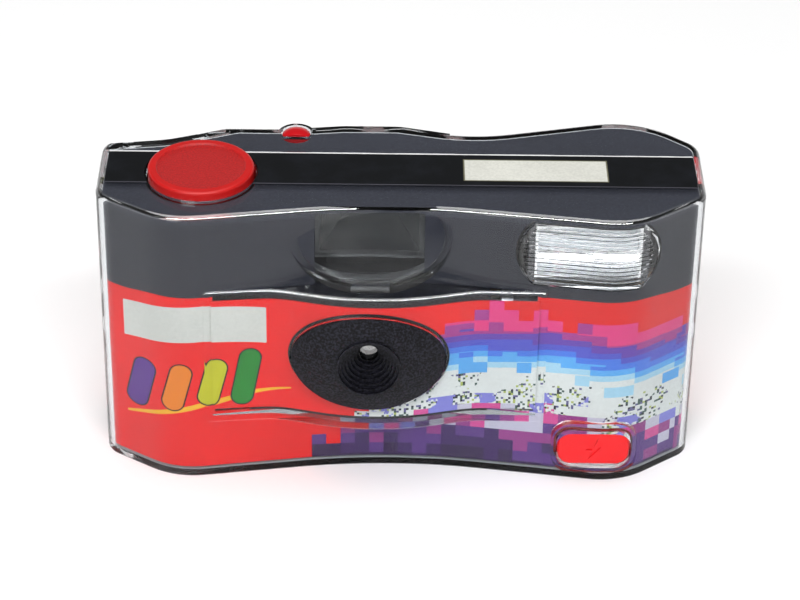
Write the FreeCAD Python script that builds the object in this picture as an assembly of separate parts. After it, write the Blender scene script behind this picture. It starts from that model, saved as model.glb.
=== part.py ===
import FreeCAD, Part
import math
import os

from FreeCAD import Vector

# A pocket film camera in a clear two-shell case. Millimetres: X runs to the right as the
# front is seen, Y to the rear, Z up, and the origin is under the middle of the case.

# Case outline, seen from above
body_width = 110.0
body_height = 56.9
shoulder_front = 9.2
left_shoulder_front = 10.4
bulge_run = 13.4
bulge_front = 19.2
bulge_radius = 14.0
waist_x = -2.0
waist_front = 12.8
waist_radius = 110.0
shoulder_rear = 9.2
shoulder_radius = 5.0
grip_run = 10.9
grip_rear = 19.0
grip_radius = 16.0
valley_x = 13.0
valley_rear = 11.4
valley_radius = 30.0
plateau_x = 2.5
plateau_rear = 14.1
plateau_radius = 10.0
rear_corner_run = 7.8
rear_corner_radius = 7.0
edge_round = 1.1
base_round = 0.6

# Walls, printed cards and the gaps between them
cover_wall = 1.2
card_thickness = 0.35
card_gap = 0.1
seal_thickness = 0.2
seal_front = 6.6
seal_rear = 4.6
seal_end = 1.5
inner_wall = 1.0
part_gap = 0.3
seat_gap = 0.15
seam_y = 5.0
seam_gap = 0.15

# Raised band round the lens, and the oval of the viewfinder above it
lens_x = -5.6
lens_z = 27.15
band_shift = 1.1
band_front = 20.3
band_radius = 45.0
band_dip_run = 18.0
band_dip_front = 17.2
band_dip_radius = 18.0
band_end_run = 31.1
band_left_front = 18.6
band_right_front = 17.4
band_back = 6.0
band_height = 28.85
band_bottom = 12.35
band_round = 0.7
oval_half_width = 14.3
oval_half_height = 10.05
finder_oval_shift = 0.2
finder_oval_drop = 6.0
finder_oval_half_width = 14.5
finder_oval_half_height = 10.0
finder_oval_top_y = 13.9
finder_oval_slope = 0.262

# Lens, its hood and the shutter behind it
dome_reach = 1.6
hood_radius = 5.9
hood_rings = 7
hood_throat = 1.75
hood_depth = 5.4
lens_radius = 3.1
lens_thickness = 2.2
lens_curve = 7.0
stop_radius = 1.4
stop_thickness = 0.3
barrel_wall = 1.0
blade_thickness = 0.3
shutter_plate_thickness = 1.2
shutter_hole = 2.4
shutter_plate_front = 11.9

# Film and its cartridge
film_width = 24.0
film_thickness = 0.2
frame_width = 30.2
frame_height = 16.7
film_plane = 8.1
cartridge_radius = 10.5
cartridge_height = 39.0
cartridge_y = -0.5
cartridge_wall = 0.9
spool_hub = 3.2
spool_socket = 1.6
roll_radius = 7.2
supply_hub = 3.4
supply_run = 16.6
supply_y = 4.3
chamber_gap = 0.4
axle_radius = 1.5
axle_fit = 0.08

# Thumb wheel, ratchet pawl and the recess for the thumb
wheel_radius = 12.6
wheel_thickness = 2.6
wheel_teeth = 48
wheel_side_gap = 0.65
wheel_tooth = 0.55
wheel_slot_gap = 0.5
deck_thickness = 0.8
floor_gap = 0.2
recess_side_rear = 7.3
recess_knee_run = 12.0
recess_knee_rear = 9.1
recess_end_run = 25.5
recess_end_rear = 14.5

# Shutter button and its guide
button_run = 3.7
button_y = -2.7
button_radius = 9.65
button_height = 3.0
button_proud = 1.5
button_rim = 1.5
button_dish = 0.3
button_travel = 1.0
button_hole_gap = 0.35
button_arm_thickness = 1.0
button_arm_width = 4.0
guide_run = 15.4
guide_y = 7.0
guide_radius = 1.2
guide_wall = 0.8

# Viewfinder
finder_width = 19.8
finder_height = 9.9
finder_top_gap = 0.2
finder_lens_thickness = 1.5
finder_lens_curve = 36.0
finder_lens_hollow = 1.2
finder_lens_rise = 2.4
eyepiece_width = 9.4
eyepiece_height = 7.4
eyepiece_thickness = 1.4
eyepiece_rear = 0.7
eyepiece_curve = 25.0
tube_wall = 0.9

# Flash
flash_run = 21.4
flash_drop = 8.0
flash_width = 24.8
flash_height = 12.6
flash_end_radius = 8.5
flash_lens_thickness = 1.6
flash_ribs = 13
reflector_width = 18.8
reflector_depth = 6.4
reflector_wall = 0.4
tube_radius = 1.3
board_thickness = 1.2
board_y = -6.9
capacitor_radius = 4.0
capacitor_length = 25.0

# Flash button at the lower right of the front
flash_button_run = 18.6
flash_button_z = 7.3
flash_button_width = 13.4
flash_button_height = 7.2
flash_button_travel = 0.8
flash_button_proud = 0.3
flash_button_rim = 1.0
rim_width = 1.25
rim_top_width = 2.6
rim_proud = 1.0

# Cell under the film gate
cell_radius = 5.25
cell_length = 44.5
cell_y = -6.6
contact_thickness = 0.3
contact_curve = 6.0
saddle_run = 7.0

# Counter and film metering
metering_run = 17.9
counter_run = 8.1
counter_y = 1.9
counter_radius = 6.3
counter_height = 3.0
counter_teeth = 30
sprocket_radius = 3.1

# Ready lamp at the rear edge of the top
lamp_run = 13.9
lamp_y = 12.2
lamp_radius = 2.6
lamp_height = 8.6
lamp_proud = 0.5
lamp_rim = 0.6
lamp_flat = 1.4

# Film door in the underside
door_radius = 11.6
door_thickness = 1.1
door_lift = 0.2
door_gap = 0.35
door_pin_radius = 0.4

# Catches in the side walls that hold the two covers together
clip_low_z = 24.9
clip_high_z = 33.4
clip_y = -3.7
clip_depth = 2.4
clip_height = 3.4
clip_fit = 0.15
strap_thickness = 0.35

# Lens panel
dome_half_x = 18.4
dome_depth = 10.0
dome_half_z = 19.0
dome_gap = 0.12
hood_lip = 0.4
panel_half_width = 22.0
leg_run = 14.5
leg_rise = 8.6
leg_radius = 1.5

# Small levers, springs and pins of the release
pin_radius = 0.8
striker_run = 4.8
striker_y = 1.5
striker_height = 2.0
striker_lean = 4.2
striker_reach = 12.3
latch_run = 0.1
latch_y = 0.8
latch_height = 1.7
latch_reach = 7.3
finger_run = 2.5
finger_y = 3.4
finger_gap = 0.4
finger_slope = 0.6
latch_rear_left = 0.7
spring_room = 3.5
blade_pivot_run = 0.2
blade_pivot_rise = 0.5
tab_run = 1.0
pawl_run = 7.0
pawl_y = -14.0
spool_socket_depth = 2.2
sprocket_height = 1.4

# Flash parts
tube_y = -11.6
reflector_front = -15.0
reflector_back = -9.4
reflector_half_height = 5.3
board_left = 11.0
board_side_gap = 4.0
capacitor_run = 15.1
capacitor_rise = 7.2
transformer_size = 8.5
trigger_coil_gap = 3.0
trigger_coil_drop = 4.0
trigger_coil_radius = 2.4
trigger_coil_length = 8.0
lamp_bulb_y = 8.4
lamp_bulb_radius = 1.4
lamp_bulb_drop = 1.0
flash_flange_front = -14.4
stem_end = -9.2
stem_radius = 1.5
bolt_height = 4.8
switch_half_width = 4.5
sync_run = 7.0
sync_rise = 2.2
sync_width = 1.2
sync_pitch = 2.4
housing_leg_run = 5.0

# Hinge and cup of the film door
door_axis_run = 9.4
door_barrel_radius = 0.75
barrel_half = 6.9
lug_start = 7.3
lug_thickness = 1.4
cup_radius = 7.2
yoke_thickness = 1.2

# Worked out from the sizes above
half_width = body_width / 2
band_x = lens_x + band_shift
finder_oval_x = lens_x + finder_oval_shift
finder_oval_z = body_height - finder_oval_drop
flash_x = half_width - flash_run
flash_z = body_height - flash_drop
flash_button_x = half_width - flash_button_run
board_right = half_width - board_side_gap
capacitor_left = flash_x - capacitor_run
capacitor_z = lens_z + capacitor_rise
card_inset = cover_wall + card_gap
core_inset = card_inset + card_thickness + card_gap
core_top = body_height - core_inset
band_top = band_bottom + band_height
band_slope = math.radians(14.0)
cartridge_x = -half_width + core_inset + wheel_side_gap + wheel_radius
button_x = cartridge_x + button_run
guide_x = cartridge_x + guide_run
striker_x = guide_x + striker_run
latch_x = guide_x - latch_run
finger_x = guide_x - finger_run
blade_pivot_x = striker_x + blade_pivot_run
tab_x = blade_pivot_x + tab_run
pawl_x = cartridge_x + pawl_run
recess_knee_x = -half_width + recess_knee_run
recess_end_x = -half_width + recess_end_run
lamp_x = lens_x - lamp_run
metering_x = lens_x + metering_run
counter_x = metering_x + counter_run
cartridge_bottom = lens_z - cartridge_height / 2
cartridge_top = lens_z + cartridge_height / 2
deck_bottom = cartridge_top + part_gap
deck_top = deck_bottom + deck_thickness
recess_floor = deck_top + floor_gap + cover_wall
wheel_bottom = recess_floor + part_gap
wheel_top = wheel_bottom + wheel_thickness
button_top = body_height + button_proud
arm_top = core_top - 0.2
arm_bottom = arm_top - button_arm_thickness
film_bottom = lens_z - film_width / 2
film_top = lens_z + film_width / 2
gate_front = film_plane - 1.6
gate_bottom = film_bottom - 1.6
gate_top = film_top + 1.6
supply_x = half_width - supply_run
supply_wall_inner = roll_radius + chamber_gap
supply_wall_outer = supply_wall_inner + inner_wall
chamber_inner = cartridge_radius + chamber_gap
chamber_outer = chamber_inner + inner_wall
center_deck_bottom = gate_top + 0.2
center_deck_top = center_deck_bottom + 1.0
blade_pivot_z = center_deck_top + blade_pivot_rise
finder_top = core_top - finder_top_gap
finder_bottom = finder_top - finder_height
finder_z = (finder_top + finder_bottom) / 2
cell_z = core_inset + cell_radius + 0.2
cell_deck_bottom = cell_z + cell_radius + 0.2
plate_front = -shutter_plate_front
plate_rear = plate_front + shutter_plate_thickness
blade_rear = plate_front - part_gap
blade_front = blade_rear - blade_thickness
hood_front = -(band_front + dome_reach)
hood_floor = hood_front + hood_depth
lens_front = hood_floor + 0.2
lens_rear = lens_front + lens_thickness
stop_front = lens_rear + 0.1
dome_y = -(band_front + dome_reach) + 0.1 + dome_depth
dome_back = -(band_dip_front - core_inset)
panel_rear = blade_front - part_gap
barrel_rear = stop_front + stop_thickness + 0.2
leg_front = -(band_front - core_inset - 0.4)
finder_left = lens_x - finder_width / 2
left_deck_end = finder_left - 1.4
tube_front = plate_front + 1.5
tube_rear = plateau_rear + eyepiece_rear - core_inset - inner_wall
gate_left = lens_x - frame_width / 2 - 1.7
striker_bottom = deck_top + part_gap
striker_top = striker_bottom + striker_height
latch_bottom = deck_top + part_gap
latch_top = latch_bottom + latch_height
sleeve_bottom = deck_top + spring_room
cell_left = -cell_length / 2
cell_right = cell_length / 2
metering_y = film_plane - film_thickness / 2 - part_gap - sprocket_radius
sprocket_bottom = film_top - 1.9
counter_bottom = center_deck_top + part_gap
counter_top = counter_bottom + counter_height
counter_mid = (counter_bottom + counter_top) / 2
capacitor_y = board_y - 0.1 - capacitor_radius
flash_button_front = -(bulge_front - bulge_radius * 0.08 + flash_button_proud)
lamp_top = body_height + lamp_proud
lamp_bottom = lamp_top - lamp_height
door_axis_x = cartridge_x + door_axis_run
yoke_top = cartridge_bottom - part_gap
yoke_bottom = yoke_top - yoke_thickness
door_axis_z = door_lift + door_barrel_radius


def box(x0, x1, y0, y1, z0, z1):
    return Part.makeBox(x1 - x0, y1 - y0, z1 - z0, Vector(x0, y0, z0))


def post(x, y, z0, z1, radius):
    return Part.makeCylinder(radius, z1 - z0, Vector(x, y, z0), Vector(0, 0, 1))


def ring(x, y, z0, z1, outer, inner):
    return post(x, y, z0, z1, outer).cut(post(x, y, z0 - 1, z1 + 1, inner))


def rod_x(x0, x1, y, z, radius):
    return Part.makeCylinder(radius, x1 - x0, Vector(x0, y, z), Vector(1, 0, 0))


def rod_y(x, y0, y1, z, radius):
    return Part.makeCylinder(radius, y1 - y0, Vector(x, y0, z), Vector(0, 1, 0))


def join(shapes):
    return shapes[0].multiFuse(shapes[1:]).removeSplitter()


# An outline is a list of corners (x, y, radius), anticlockwise. Insetting it moves each
# side by the same distance and keeps the round corners parallel.
def inset_corners(corners, inset):
    count = len(corners)
    lines = []
    for i in range(count):
        a = Vector(corners[i][0], corners[i][1], 0)
        b = Vector(corners[(i + 1) % count][0], corners[(i + 1) % count][1], 0)
        along = (b - a).normalize()
        lines.append((a + Vector(-along.y, along.x, 0) * inset, along))
    moved = []
    for i in range(count):
        start, before = lines[i - 1]
        other, after = lines[i]
        turn = before.x * after.y - before.y * after.x
        gap = other - start
        reach = (gap.x * after.y - gap.y * after.x) / turn
        corner = start + before * reach
        radius = corners[i][2] - inset if turn > 0 else corners[i][2] + inset
        moved.append((corner.x, corner.y, max(radius, 0.0)))
    return moved


def rounded_wire(corners, z):
    count = len(corners)
    ends = []
    for i in range(count):
        point = Vector(corners[i][0], corners[i][1], z)
        back = Vector(corners[i - 1][0], corners[i - 1][1], z)
        front = Vector(corners[(i + 1) % count][0], corners[(i + 1) % count][1], z)
        to_back = (back - point).normalize()
        to_front = (front - point).normalize()
        radius = corners[i][2]
        half_angle = to_back.getAngle(to_front) / 2
        if radius < 0.01:
            ends.append((point, point, point))
            continue
        tangent = radius / math.tan(half_angle)
        inward = (to_back + to_front).normalize()
        middle = point + inward * (radius / math.sin(half_angle) - radius)
        ends.append((point + to_back * tangent, middle, point + to_front * tangent))
    edges = []
    for i in range(count):
        start, middle, end = ends[i]
        if (end - start).Length > 1e-6:
            edges.append(Part.Arc(start, middle, end).toShape())
        following = ends[(i + 1) % count][0]
        if (following - end).Length > 1e-6:
            edges.append(Part.LineSegment(end, following).toShape())
    return Part.Wire(edges)


def outline_prism(corners, z0, z1):
    face = Part.Face(rounded_wire(corners, z0))
    return face.extrude(Vector(0, 0, z1 - z0))


# An upright profile (x, z) drawn in the XZ plane and pushed along Y
def front_prism(corners, y0, y1):
    flat = outline_prism(corners, 0, y1 - y0)
    flat.rotate(Vector(0, 0, 0), Vector(1, 0, 0), 90)
    flat.translate(Vector(0, y1, 0))
    return flat


def front_ellipse(x, z, half_width, half_height, y0, y1):
    long_side = max(half_width, half_height)
    short_side = min(half_width, half_height)
    curve = Part.Ellipse(Vector(0, 0, 0), long_side, short_side)
    face = Part.Face(Part.Wire(curve.toShape()))
    if half_height > half_width:
        face.rotate(Vector(0, 0, 0), Vector(0, 0, 1), 90)
    face.rotate(Vector(0, 0, 0), Vector(1, 0, 0), 90)
    face.translate(Vector(x, y0, z))
    return face.extrude(Vector(0, y1 - y0, 0))


def ellipsoid(x, y, z, half_x, half_y, half_z):
    ball = Part.makeSphere(1.0)
    scale = FreeCAD.Matrix()
    scale.scale(half_x, half_y, half_z)
    return ball.transformGeometry(scale).translated(Vector(x, y, z))


def plan_corners():
    return [
        (-half_width, -left_shoulder_front, shoulder_radius),
        (-half_width + bulge_run, -bulge_front, bulge_radius),
        (waist_x, -waist_front, waist_radius),
        (half_width - bulge_run, -bulge_front, bulge_radius),
        (half_width, -shoulder_front, shoulder_radius),
        (half_width, shoulder_rear, shoulder_radius),
        (half_width - grip_run, grip_rear, grip_radius),
        (valley_x, valley_rear, valley_radius),
        (plateau_x, plateau_rear, plateau_radius),
        (-half_width + rear_corner_run, plateau_rear, rear_corner_radius),
        (-half_width, shoulder_rear - 1.6, shoulder_radius),
    ]


def recess_corners():
    outside = half_width + 12
    far = plateau_rear + 20
    return [
        (-outside, recess_side_rear - 1.9, 0),
        (recess_knee_x, recess_knee_rear, 20),
        (recess_end_x, recess_end_rear, 0),
        (recess_end_x, far, 0),
        (-outside, far, 0),
    ]


def plan_prism(inset, z0, z1):
    return outline_prism(inset_corners(plan_corners(), inset), z0, z1)


# The raised band swells over the lens and dies into the bulges on both sides
def band_corners():
    middle = band_front + band_radius * (1 / math.cos(band_slope) - 1)
    back = -band_back
    return [
        (band_x - band_end_run, back, 0),
        (band_x - band_end_run, -band_left_front, 0.3),
        (band_x - band_dip_run, -band_dip_front, band_dip_radius),
        (band_x, -middle, band_radius),
        (band_x + band_dip_run, -band_dip_front, band_dip_radius),
        (band_x + band_end_run, -band_right_front, 0.3),
        (band_x + band_end_run, back, 0),
    ]


def band(inset):
    return outline_prism(inset_corners(band_corners(), inset), band_bottom + inset,
                         band_top - inset)


def finder_boss(inset):
    slope = math.atan(finder_oval_slope)
    oval = front_ellipse(finder_oval_x, finder_oval_z, finder_oval_half_width - inset,
                         finder_oval_half_height - inset, -40, -waist_front + cover_wall)
    room = box(-60, 60, -60, 0, -60, body_height - inset)
    front = box(-60, 60, -60, 0, -60, 60)
    front.rotate(Vector(0, 0, 0), Vector(1, 0, 0), -math.degrees(slope))
    front.translate(Vector(0, -finder_oval_top_y + inset / math.cos(slope), body_height))
    return oval.common(room).cut(front)


def lamp_bump(inset, z0, z1):
    return post(lamp_x, lamp_y, z0, z1, lamp_radius + seat_gap + lamp_rim - inset)


# The lamp's lens is a rod with one flat side, and so is the room for it
def lamp_room(extra, z0, z1):
    flat = lamp_y - lamp_flat - extra
    return post(lamp_x, lamp_y, z0, z1, lamp_radius + extra).common(
        box(-80, 80, flat, 40, z0, z1))


def eyepiece_bump(inset, z0, z1):
    reach = plateau_rear + eyepiece_rear
    side = eyepiece_width / 2 + 3.0
    left = lens_x - side - 3.5
    right = lens_x + side + 6.9
    corners = [(left, 5, 0), (right, 5, 0), (right, plateau_rear - 1.7, 0),
               (lens_x + side - 2.5, reach, 6.0), (lens_x - side + 2.5, reach, 6.0),
               (left, plateau_rear - 0.1, 0)]
    return outline_prism(inset_corners(corners, inset), z0, z1)


def level_edges(shape, z):
    return [e for e in shape.Edges
            if abs(e.BoundBox.ZMin - z) < 1e-4 and abs(e.BoundBox.ZMax - z) < 1e-4]


def case_block(inset, rounded=False):
    block = plan_prism(inset, inset, body_height - inset)
    if rounded:
        block = block.makeFillet(edge_round, level_edges(block, body_height))
        block = block.makeFillet(base_round, level_edges(block, 0))
    bump_bottom = finder_bottom - 3.5 + inset
    bump_foot = lamp_bottom - 2.0 + inset
    lens_band = band(inset)
    if rounded:
        for z in (band_bottom, band_top):
            fronts = [e for e in level_edges(lens_band, z)
                      if e.BoundBox.YMax < -band_dip_front + 0.5]
            lens_band = lens_band.makeFillet(band_round, fronts)
    block = join([block, lens_band, finder_boss(inset),
                  lamp_bump(inset, bump_foot, body_height - inset),
                  eyepiece_bump(inset, bump_bottom, body_height - inset)])
    floor = recess_floor - inset
    thumb = outline_prism(inset_corners(recess_corners(), -inset), floor, body_height + 5)
    return block.cut(thumb)


def core_slab(z0, z1, x0, x1):
    front = plan_prism(core_inset + 0.25, z0, z1).common(box(x0, x1, -40, 2.3, z0, z1))
    rear_inset = core_inset + inner_wall + seat_gap
    rear = plan_prism(rear_inset, z0, z1).common(box(x0, x1, 2.2, 40, z0, z1))
    return front.fuse(rear).removeSplitter()


def slot_for_wheel():
    return post(cartridge_x, cartridge_y, recess_floor, wheel_top + part_gap,
                wheel_radius + wheel_slot_gap)


def button_hole(extra):
    return post(button_x, button_y, core_top - 3, body_height + 3,
                button_radius + button_hole_gap + extra)


def rounded_rectangle(x, z, width, height, radius):
    return [
        (x - width / 2, z - height / 2, radius),
        (x + width / 2, z - height / 2, radius),
        (x + width / 2, z + height / 2, radius),
        (x - width / 2, z + height / 2, radius),
    ]


# A window with level top and bottom and two arched ends
def barrel_window(extra, y0, y1):
    half = flash_width / 2 + extra
    rise = flash_height / 2 + extra
    radius = flash_end_radius + extra
    corner = half - radius + math.sqrt(radius * radius - rise * rise)
    low = flash_z - rise
    high = flash_z + rise
    wire = Part.Wire([
        Part.LineSegment(Vector(flash_x - corner, y0, low),
                         Vector(flash_x + corner, y0, low)).toShape(),
        Part.Arc(Vector(flash_x + corner, y0, low), Vector(flash_x + half, y0, flash_z),
                 Vector(flash_x + corner, y0, high)).toShape(),
        Part.LineSegment(Vector(flash_x + corner, y0, high),
                         Vector(flash_x - corner, y0, high)).toShape(),
        Part.Arc(Vector(flash_x - corner, y0, high), Vector(flash_x - half, y0, flash_z),
                 Vector(flash_x - corner, y0, low)).toShape(),
    ])
    return Part.Face(wire).extrude(Vector(0, y1 - y0, 0))


def lens_oval(extra, y0, y1):
    return front_ellipse(lens_x, lens_z, oval_half_width + extra,
                         oval_half_height + extra, y0, y1)


def flash_button_room(extra, y0, y1):
    corners = rounded_rectangle(flash_button_x, flash_button_z,
                                flash_button_width + 2 * extra,
                                flash_button_height + 2 * extra, 2.6 + extra)
    return front_prism(corners, y0, y1)


# The clear rim round the flash button stands higher above the button than beside it
def rim_corners():
    width = flash_button_width + 2 * rim_width
    height = flash_button_height + rim_width + rim_top_width
    middle = flash_button_z + (rim_top_width - rim_width) / 2
    return rounded_rectangle(flash_button_x, middle, width, height, 2.6 + rim_width)


# The door is a disc with one straight side, and its hinge lugs stand in the same opening
def door_room(extra, z0, z1):
    disc = post(cartridge_x, cartridge_y, z0, z1, door_radius + extra)
    disc = disc.common(box(-80, door_axis_x, -40, 40, z0, z1))
    side = lug_start + lug_thickness + extra
    hinge = box(door_axis_x - 1.5, door_axis_x + 1.0 + extra, cartridge_y - side,
                cartridge_y + side, z0, z1)
    return disc.fuse(hinge)


def clip_windows():
    windows = []
    for side in (-1, 1):
        for z in (clip_low_z, clip_high_z):
            x = side * (half_width - cover_wall / 2)
            windows.append(box(x - 1.2, x + 1.2, clip_y, clip_y + clip_depth,
                               z - clip_height / 2, z + clip_height / 2))
    return windows


# Clear covers
def front_cover():
    shell = case_block(0, rounded=True).cut(case_block(cover_wall))
    shell = shell.common(box(-80, 80, -40, seam_y - seam_gap / 2, -1, body_height + 1))
    rim = front_prism(rim_corners(), -bulge_front, -bulge_front + 4)
    rim = rim.cut(case_block(cover_wall))
    rim_front = -(bulge_front - bulge_radius * 0.08 + rim_proud)
    rim = rim.common(box(-80, 80, rim_front, 0, 0, body_height))
    shell = shell.fuse(rim)
    holes = [
        lens_oval(0.0, -40, -10),
        button_hole(0),
        barrel_window(0.15, -40, -10),
        flash_button_room(part_gap, -40, -10),
        door_room(door_gap, -1, 4),
    ]
    for hole in holes + clip_windows():
        shell = shell.cut(hole)
    return shell.removeSplitter()


def rear_cover():
    shell = case_block(0, rounded=True).cut(case_block(cover_wall))
    shell = shell.common(box(-80, 80, seam_y + seam_gap / 2, 40, -1, body_height + 1))
    lamp = lamp_room(seat_gap, lamp_bottom - part_gap, lamp_top + 1)
    holes = [button_hole(0), slot_for_wheel(), door_room(door_gap, -1, 4), lamp]
    for hole in holes:
        shell = shell.cut(hole)
    catches = []
    low = clip_y + clip_fit
    for side in (-1, 1):
        for z in (clip_low_z, clip_high_z):
            z0 = z - clip_height / 2 + clip_fit
            z1 = z + clip_height / 2 - clip_fit
            wall = side * (half_width - cover_wall)
            back = wall - side * strap_thickness
            face = wall + side * cover_wall * 0.6
            catches.append(box(min(back, wall), max(back, wall), low, seam_y + 1.0, z0, z1))
            catches.append(box(min(wall, face), max(wall, face), low,
                               clip_y + clip_depth - clip_fit, z0, z1))
    return join([shell] + catches)


def seal_label():
    z = body_height + 0.02
    side = half_width - seal_end
    corners = [(-side, -seal_front, 0.4), (side, -seal_front, 0.4),
               (side, seal_rear, 0.4), (-side, seal_rear, 0.4)]
    strip = outline_prism(corners, z, z + seal_thickness)
    strip = strip.common(plan_prism(edge_round + 0.3, z - 1, z + 2))
    thumb = outline_prism(inset_corners(recess_corners(), -edge_round), z - 5, z + 5)
    return strip.cut(button_hole(0.3)).cut(thumb)


# Room for the deck where it runs in under the floor of the thumb recess
def under_recess(inset):
    zone = box(-80, recess_end_x + 4, -40, 40, deck_bottom - 1.5, deck_top + 0.15)
    return zone.common(plan_prism(inset, 0, body_height))


# Printed cards just inside the clear covers
def card_shell():
    return case_block(card_inset).cut(case_block(card_inset + card_thickness))


def front_card():
    card = card_shell().common(box(-80, 80, -40, -4.0, card_inset + card_thickness + 0.1,
                                   body_height))
    shelf_slit = box(-60, 60, -40, -waist_front + 1.0, band_top - 2.6, band_top + 0.4)
    under_slit = box(-60, 60, -40, -waist_front + 1.0, band_bottom - 0.4, band_bottom + 2.6)
    band_zone = box(band_x - band_end_run, band_x + band_end_run, -40, 0,
                    0, body_height).cut(plan_prism(card_inset + 0.02, -1, body_height + 1))
    under_top = box(-60, 60, -40, 0, 0, body_height - card_inset - card_thickness)
    finder_hole = box(lens_x - finder_width / 2, lens_x + finder_width / 2, -40, -8,
                      band_top - 1, body_height - card_inset - card_thickness)
    holes = [
        lens_oval(0.4, -40, -8),
        barrel_window(0.5, -40, -8).common(under_top),
        flash_button_room(part_gap + 0.4, -40, -8),
        button_hole(0.3),
        finder_hole,
        shelf_slit.common(band_zone),
        under_slit.common(band_zone),
    ]
    for hole in holes:
        card = card.cut(hole)
    return card.removeSplitter()


def rear_card():
    card = card_shell().common(box(-80, 80, 4.0, 40, card_inset + card_thickness + 0.1,
                                   body_height))
    eyepiece = box(lens_x - eyepiece_width / 2 - 0.6, lens_x + eyepiece_width / 2 + 0.6,
                   4, 40, finder_z - eyepiece_height / 2 - 0.6,
                   finder_z + eyepiece_height / 2 + 0.6)
    lamp = post(lamp_x, lamp_y, lamp_bottom - 2.5, body_height, lamp_radius + seat_gap)
    counter_eye = rod_y(counter_x - 3.0, 4, 40, counter_mid, 2.2)
    notches = []
    for z in (clip_low_z, clip_high_z):
        notches.append(box(-80, 80, 3, seam_y + 1.3, z - clip_height / 2, z + clip_height / 2))
    holes = [slot_for_wheel(), eyepiece, lamp, counter_eye, button_hole(0.3),
             under_recess(card_inset + card_thickness)] + notches
    for hole in holes:
        card = card.cut(hole)
    return card.removeSplitter()


# Black panel inside the band, with the domed lens surround, its stepped hood and the
# barrel that holds the lens
def lens_dome(shrink):
    dome = ellipsoid(lens_x, dome_y, lens_z, dome_half_x - shrink, dome_depth - shrink,
                     dome_half_z - shrink)
    return dome.common(lens_oval(-dome_gap - shrink, -40, dome_back))


def lens_panel():
    x0 = lens_x - panel_half_width
    x1 = lens_x + panel_half_width
    outer = band(core_inset).common(box(x0, x1, -40, panel_rear, 0, body_height))
    hollow = band(core_inset + inner_wall)
    hollow = hollow.common(box(x0 + inner_wall, x1 - inner_wall, -40, 0, 0, body_height))
    panel = outer.cut(hollow).cut(lens_oval(-dome_gap - inner_wall, -40, panel_rear))
    surround = lens_dome(0).cut(lens_dome(inner_wall))
    lip = rod_y(lens_x, hood_front, hood_floor + inner_wall, lens_z, hood_radius)
    barrel = rod_y(lens_x, hood_floor, barrel_rear, lens_z,
                   lens_radius + axle_fit + barrel_wall)
    legs = []
    for x, z in leg_places():
        legs.append(rod_y(x, leg_front, plate_front - card_gap, z, leg_radius))
    inside = band(core_inset + inner_wall / 2).fuse(box(-60, 60, panel_rear - 1, 0, 0, 60))
    legs = [leg.common(inside) for leg in legs]
    panel = join([panel, surround, lip, barrel] + legs)
    step = hood_depth / hood_rings
    widest = hood_radius - hood_lip
    narrowing = (widest - hood_throat - 0.4) / (hood_rings - 1)
    for i in range(hood_rings):
        depth = hood_front + step * (i + 1)
        panel = panel.cut(rod_y(lens_x, hood_front - 1, depth, lens_z, widest - narrowing * i))
    panel = panel.cut(rod_y(lens_x, hood_front, lens_front + 0.1, lens_z, hood_throat))
    return panel.cut(rod_y(lens_x, lens_front, 0, lens_z, lens_radius + axle_fit)
                     .cut(box(-60, 60, panel_rear, 60, -60, 60)))


# Where the panel stands on the shutter plate, clear of the blade's swing
def leg_places():
    return [
        (lens_x + leg_run, lens_z + leg_rise),
        (lens_x + leg_run, lens_z - leg_rise),
        (lens_x - leg_run, lens_z - leg_rise),
    ]


def taking_lens():
    blank = rod_y(lens_x, lens_front, lens_rear, lens_z, lens_radius)
    front = Part.makeSphere(lens_curve, Vector(lens_x, lens_front + lens_curve, lens_z))
    hollow_y = lens_rear + lens_curve - 0.6
    rear = Part.makeSphere(lens_curve, Vector(lens_x, hollow_y, lens_z))
    return blank.common(front).cut(rear)


def aperture_plate():
    plate = rod_y(lens_x, stop_front, stop_front + stop_thickness, lens_z, lens_radius)
    return plate.cut(rod_y(lens_x, stop_front - 1, stop_front + 1, lens_z, stop_radius))


def rectangle_wire(x, z, width, height, y):
    points = [Vector(x - width / 2, y, z - height / 2), Vector(x + width / 2, y, z - height / 2),
              Vector(x + width / 2, y, z + height / 2), Vector(x - width / 2, y, z + height / 2)]
    return Part.makePolygon(points + points[:1])


def funnel(x, z, front_size, rear_size, y0, y1, wall):
    outer = Part.makeLoft([
        rectangle_wire(x, z, front_size[0], front_size[1], y0),
        rectangle_wire(x, z, rear_size[0], rear_size[1], y1)], True, True)
    inner = Part.makeLoft([
        rectangle_wire(x, z, front_size[0] - 2 * wall, front_size[1] - 2 * wall, y0),
        rectangle_wire(x, z, rear_size[0] - 2 * wall, rear_size[1] - 2 * wall, y1)], True, True)
    return outer.cut(inner)


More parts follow.
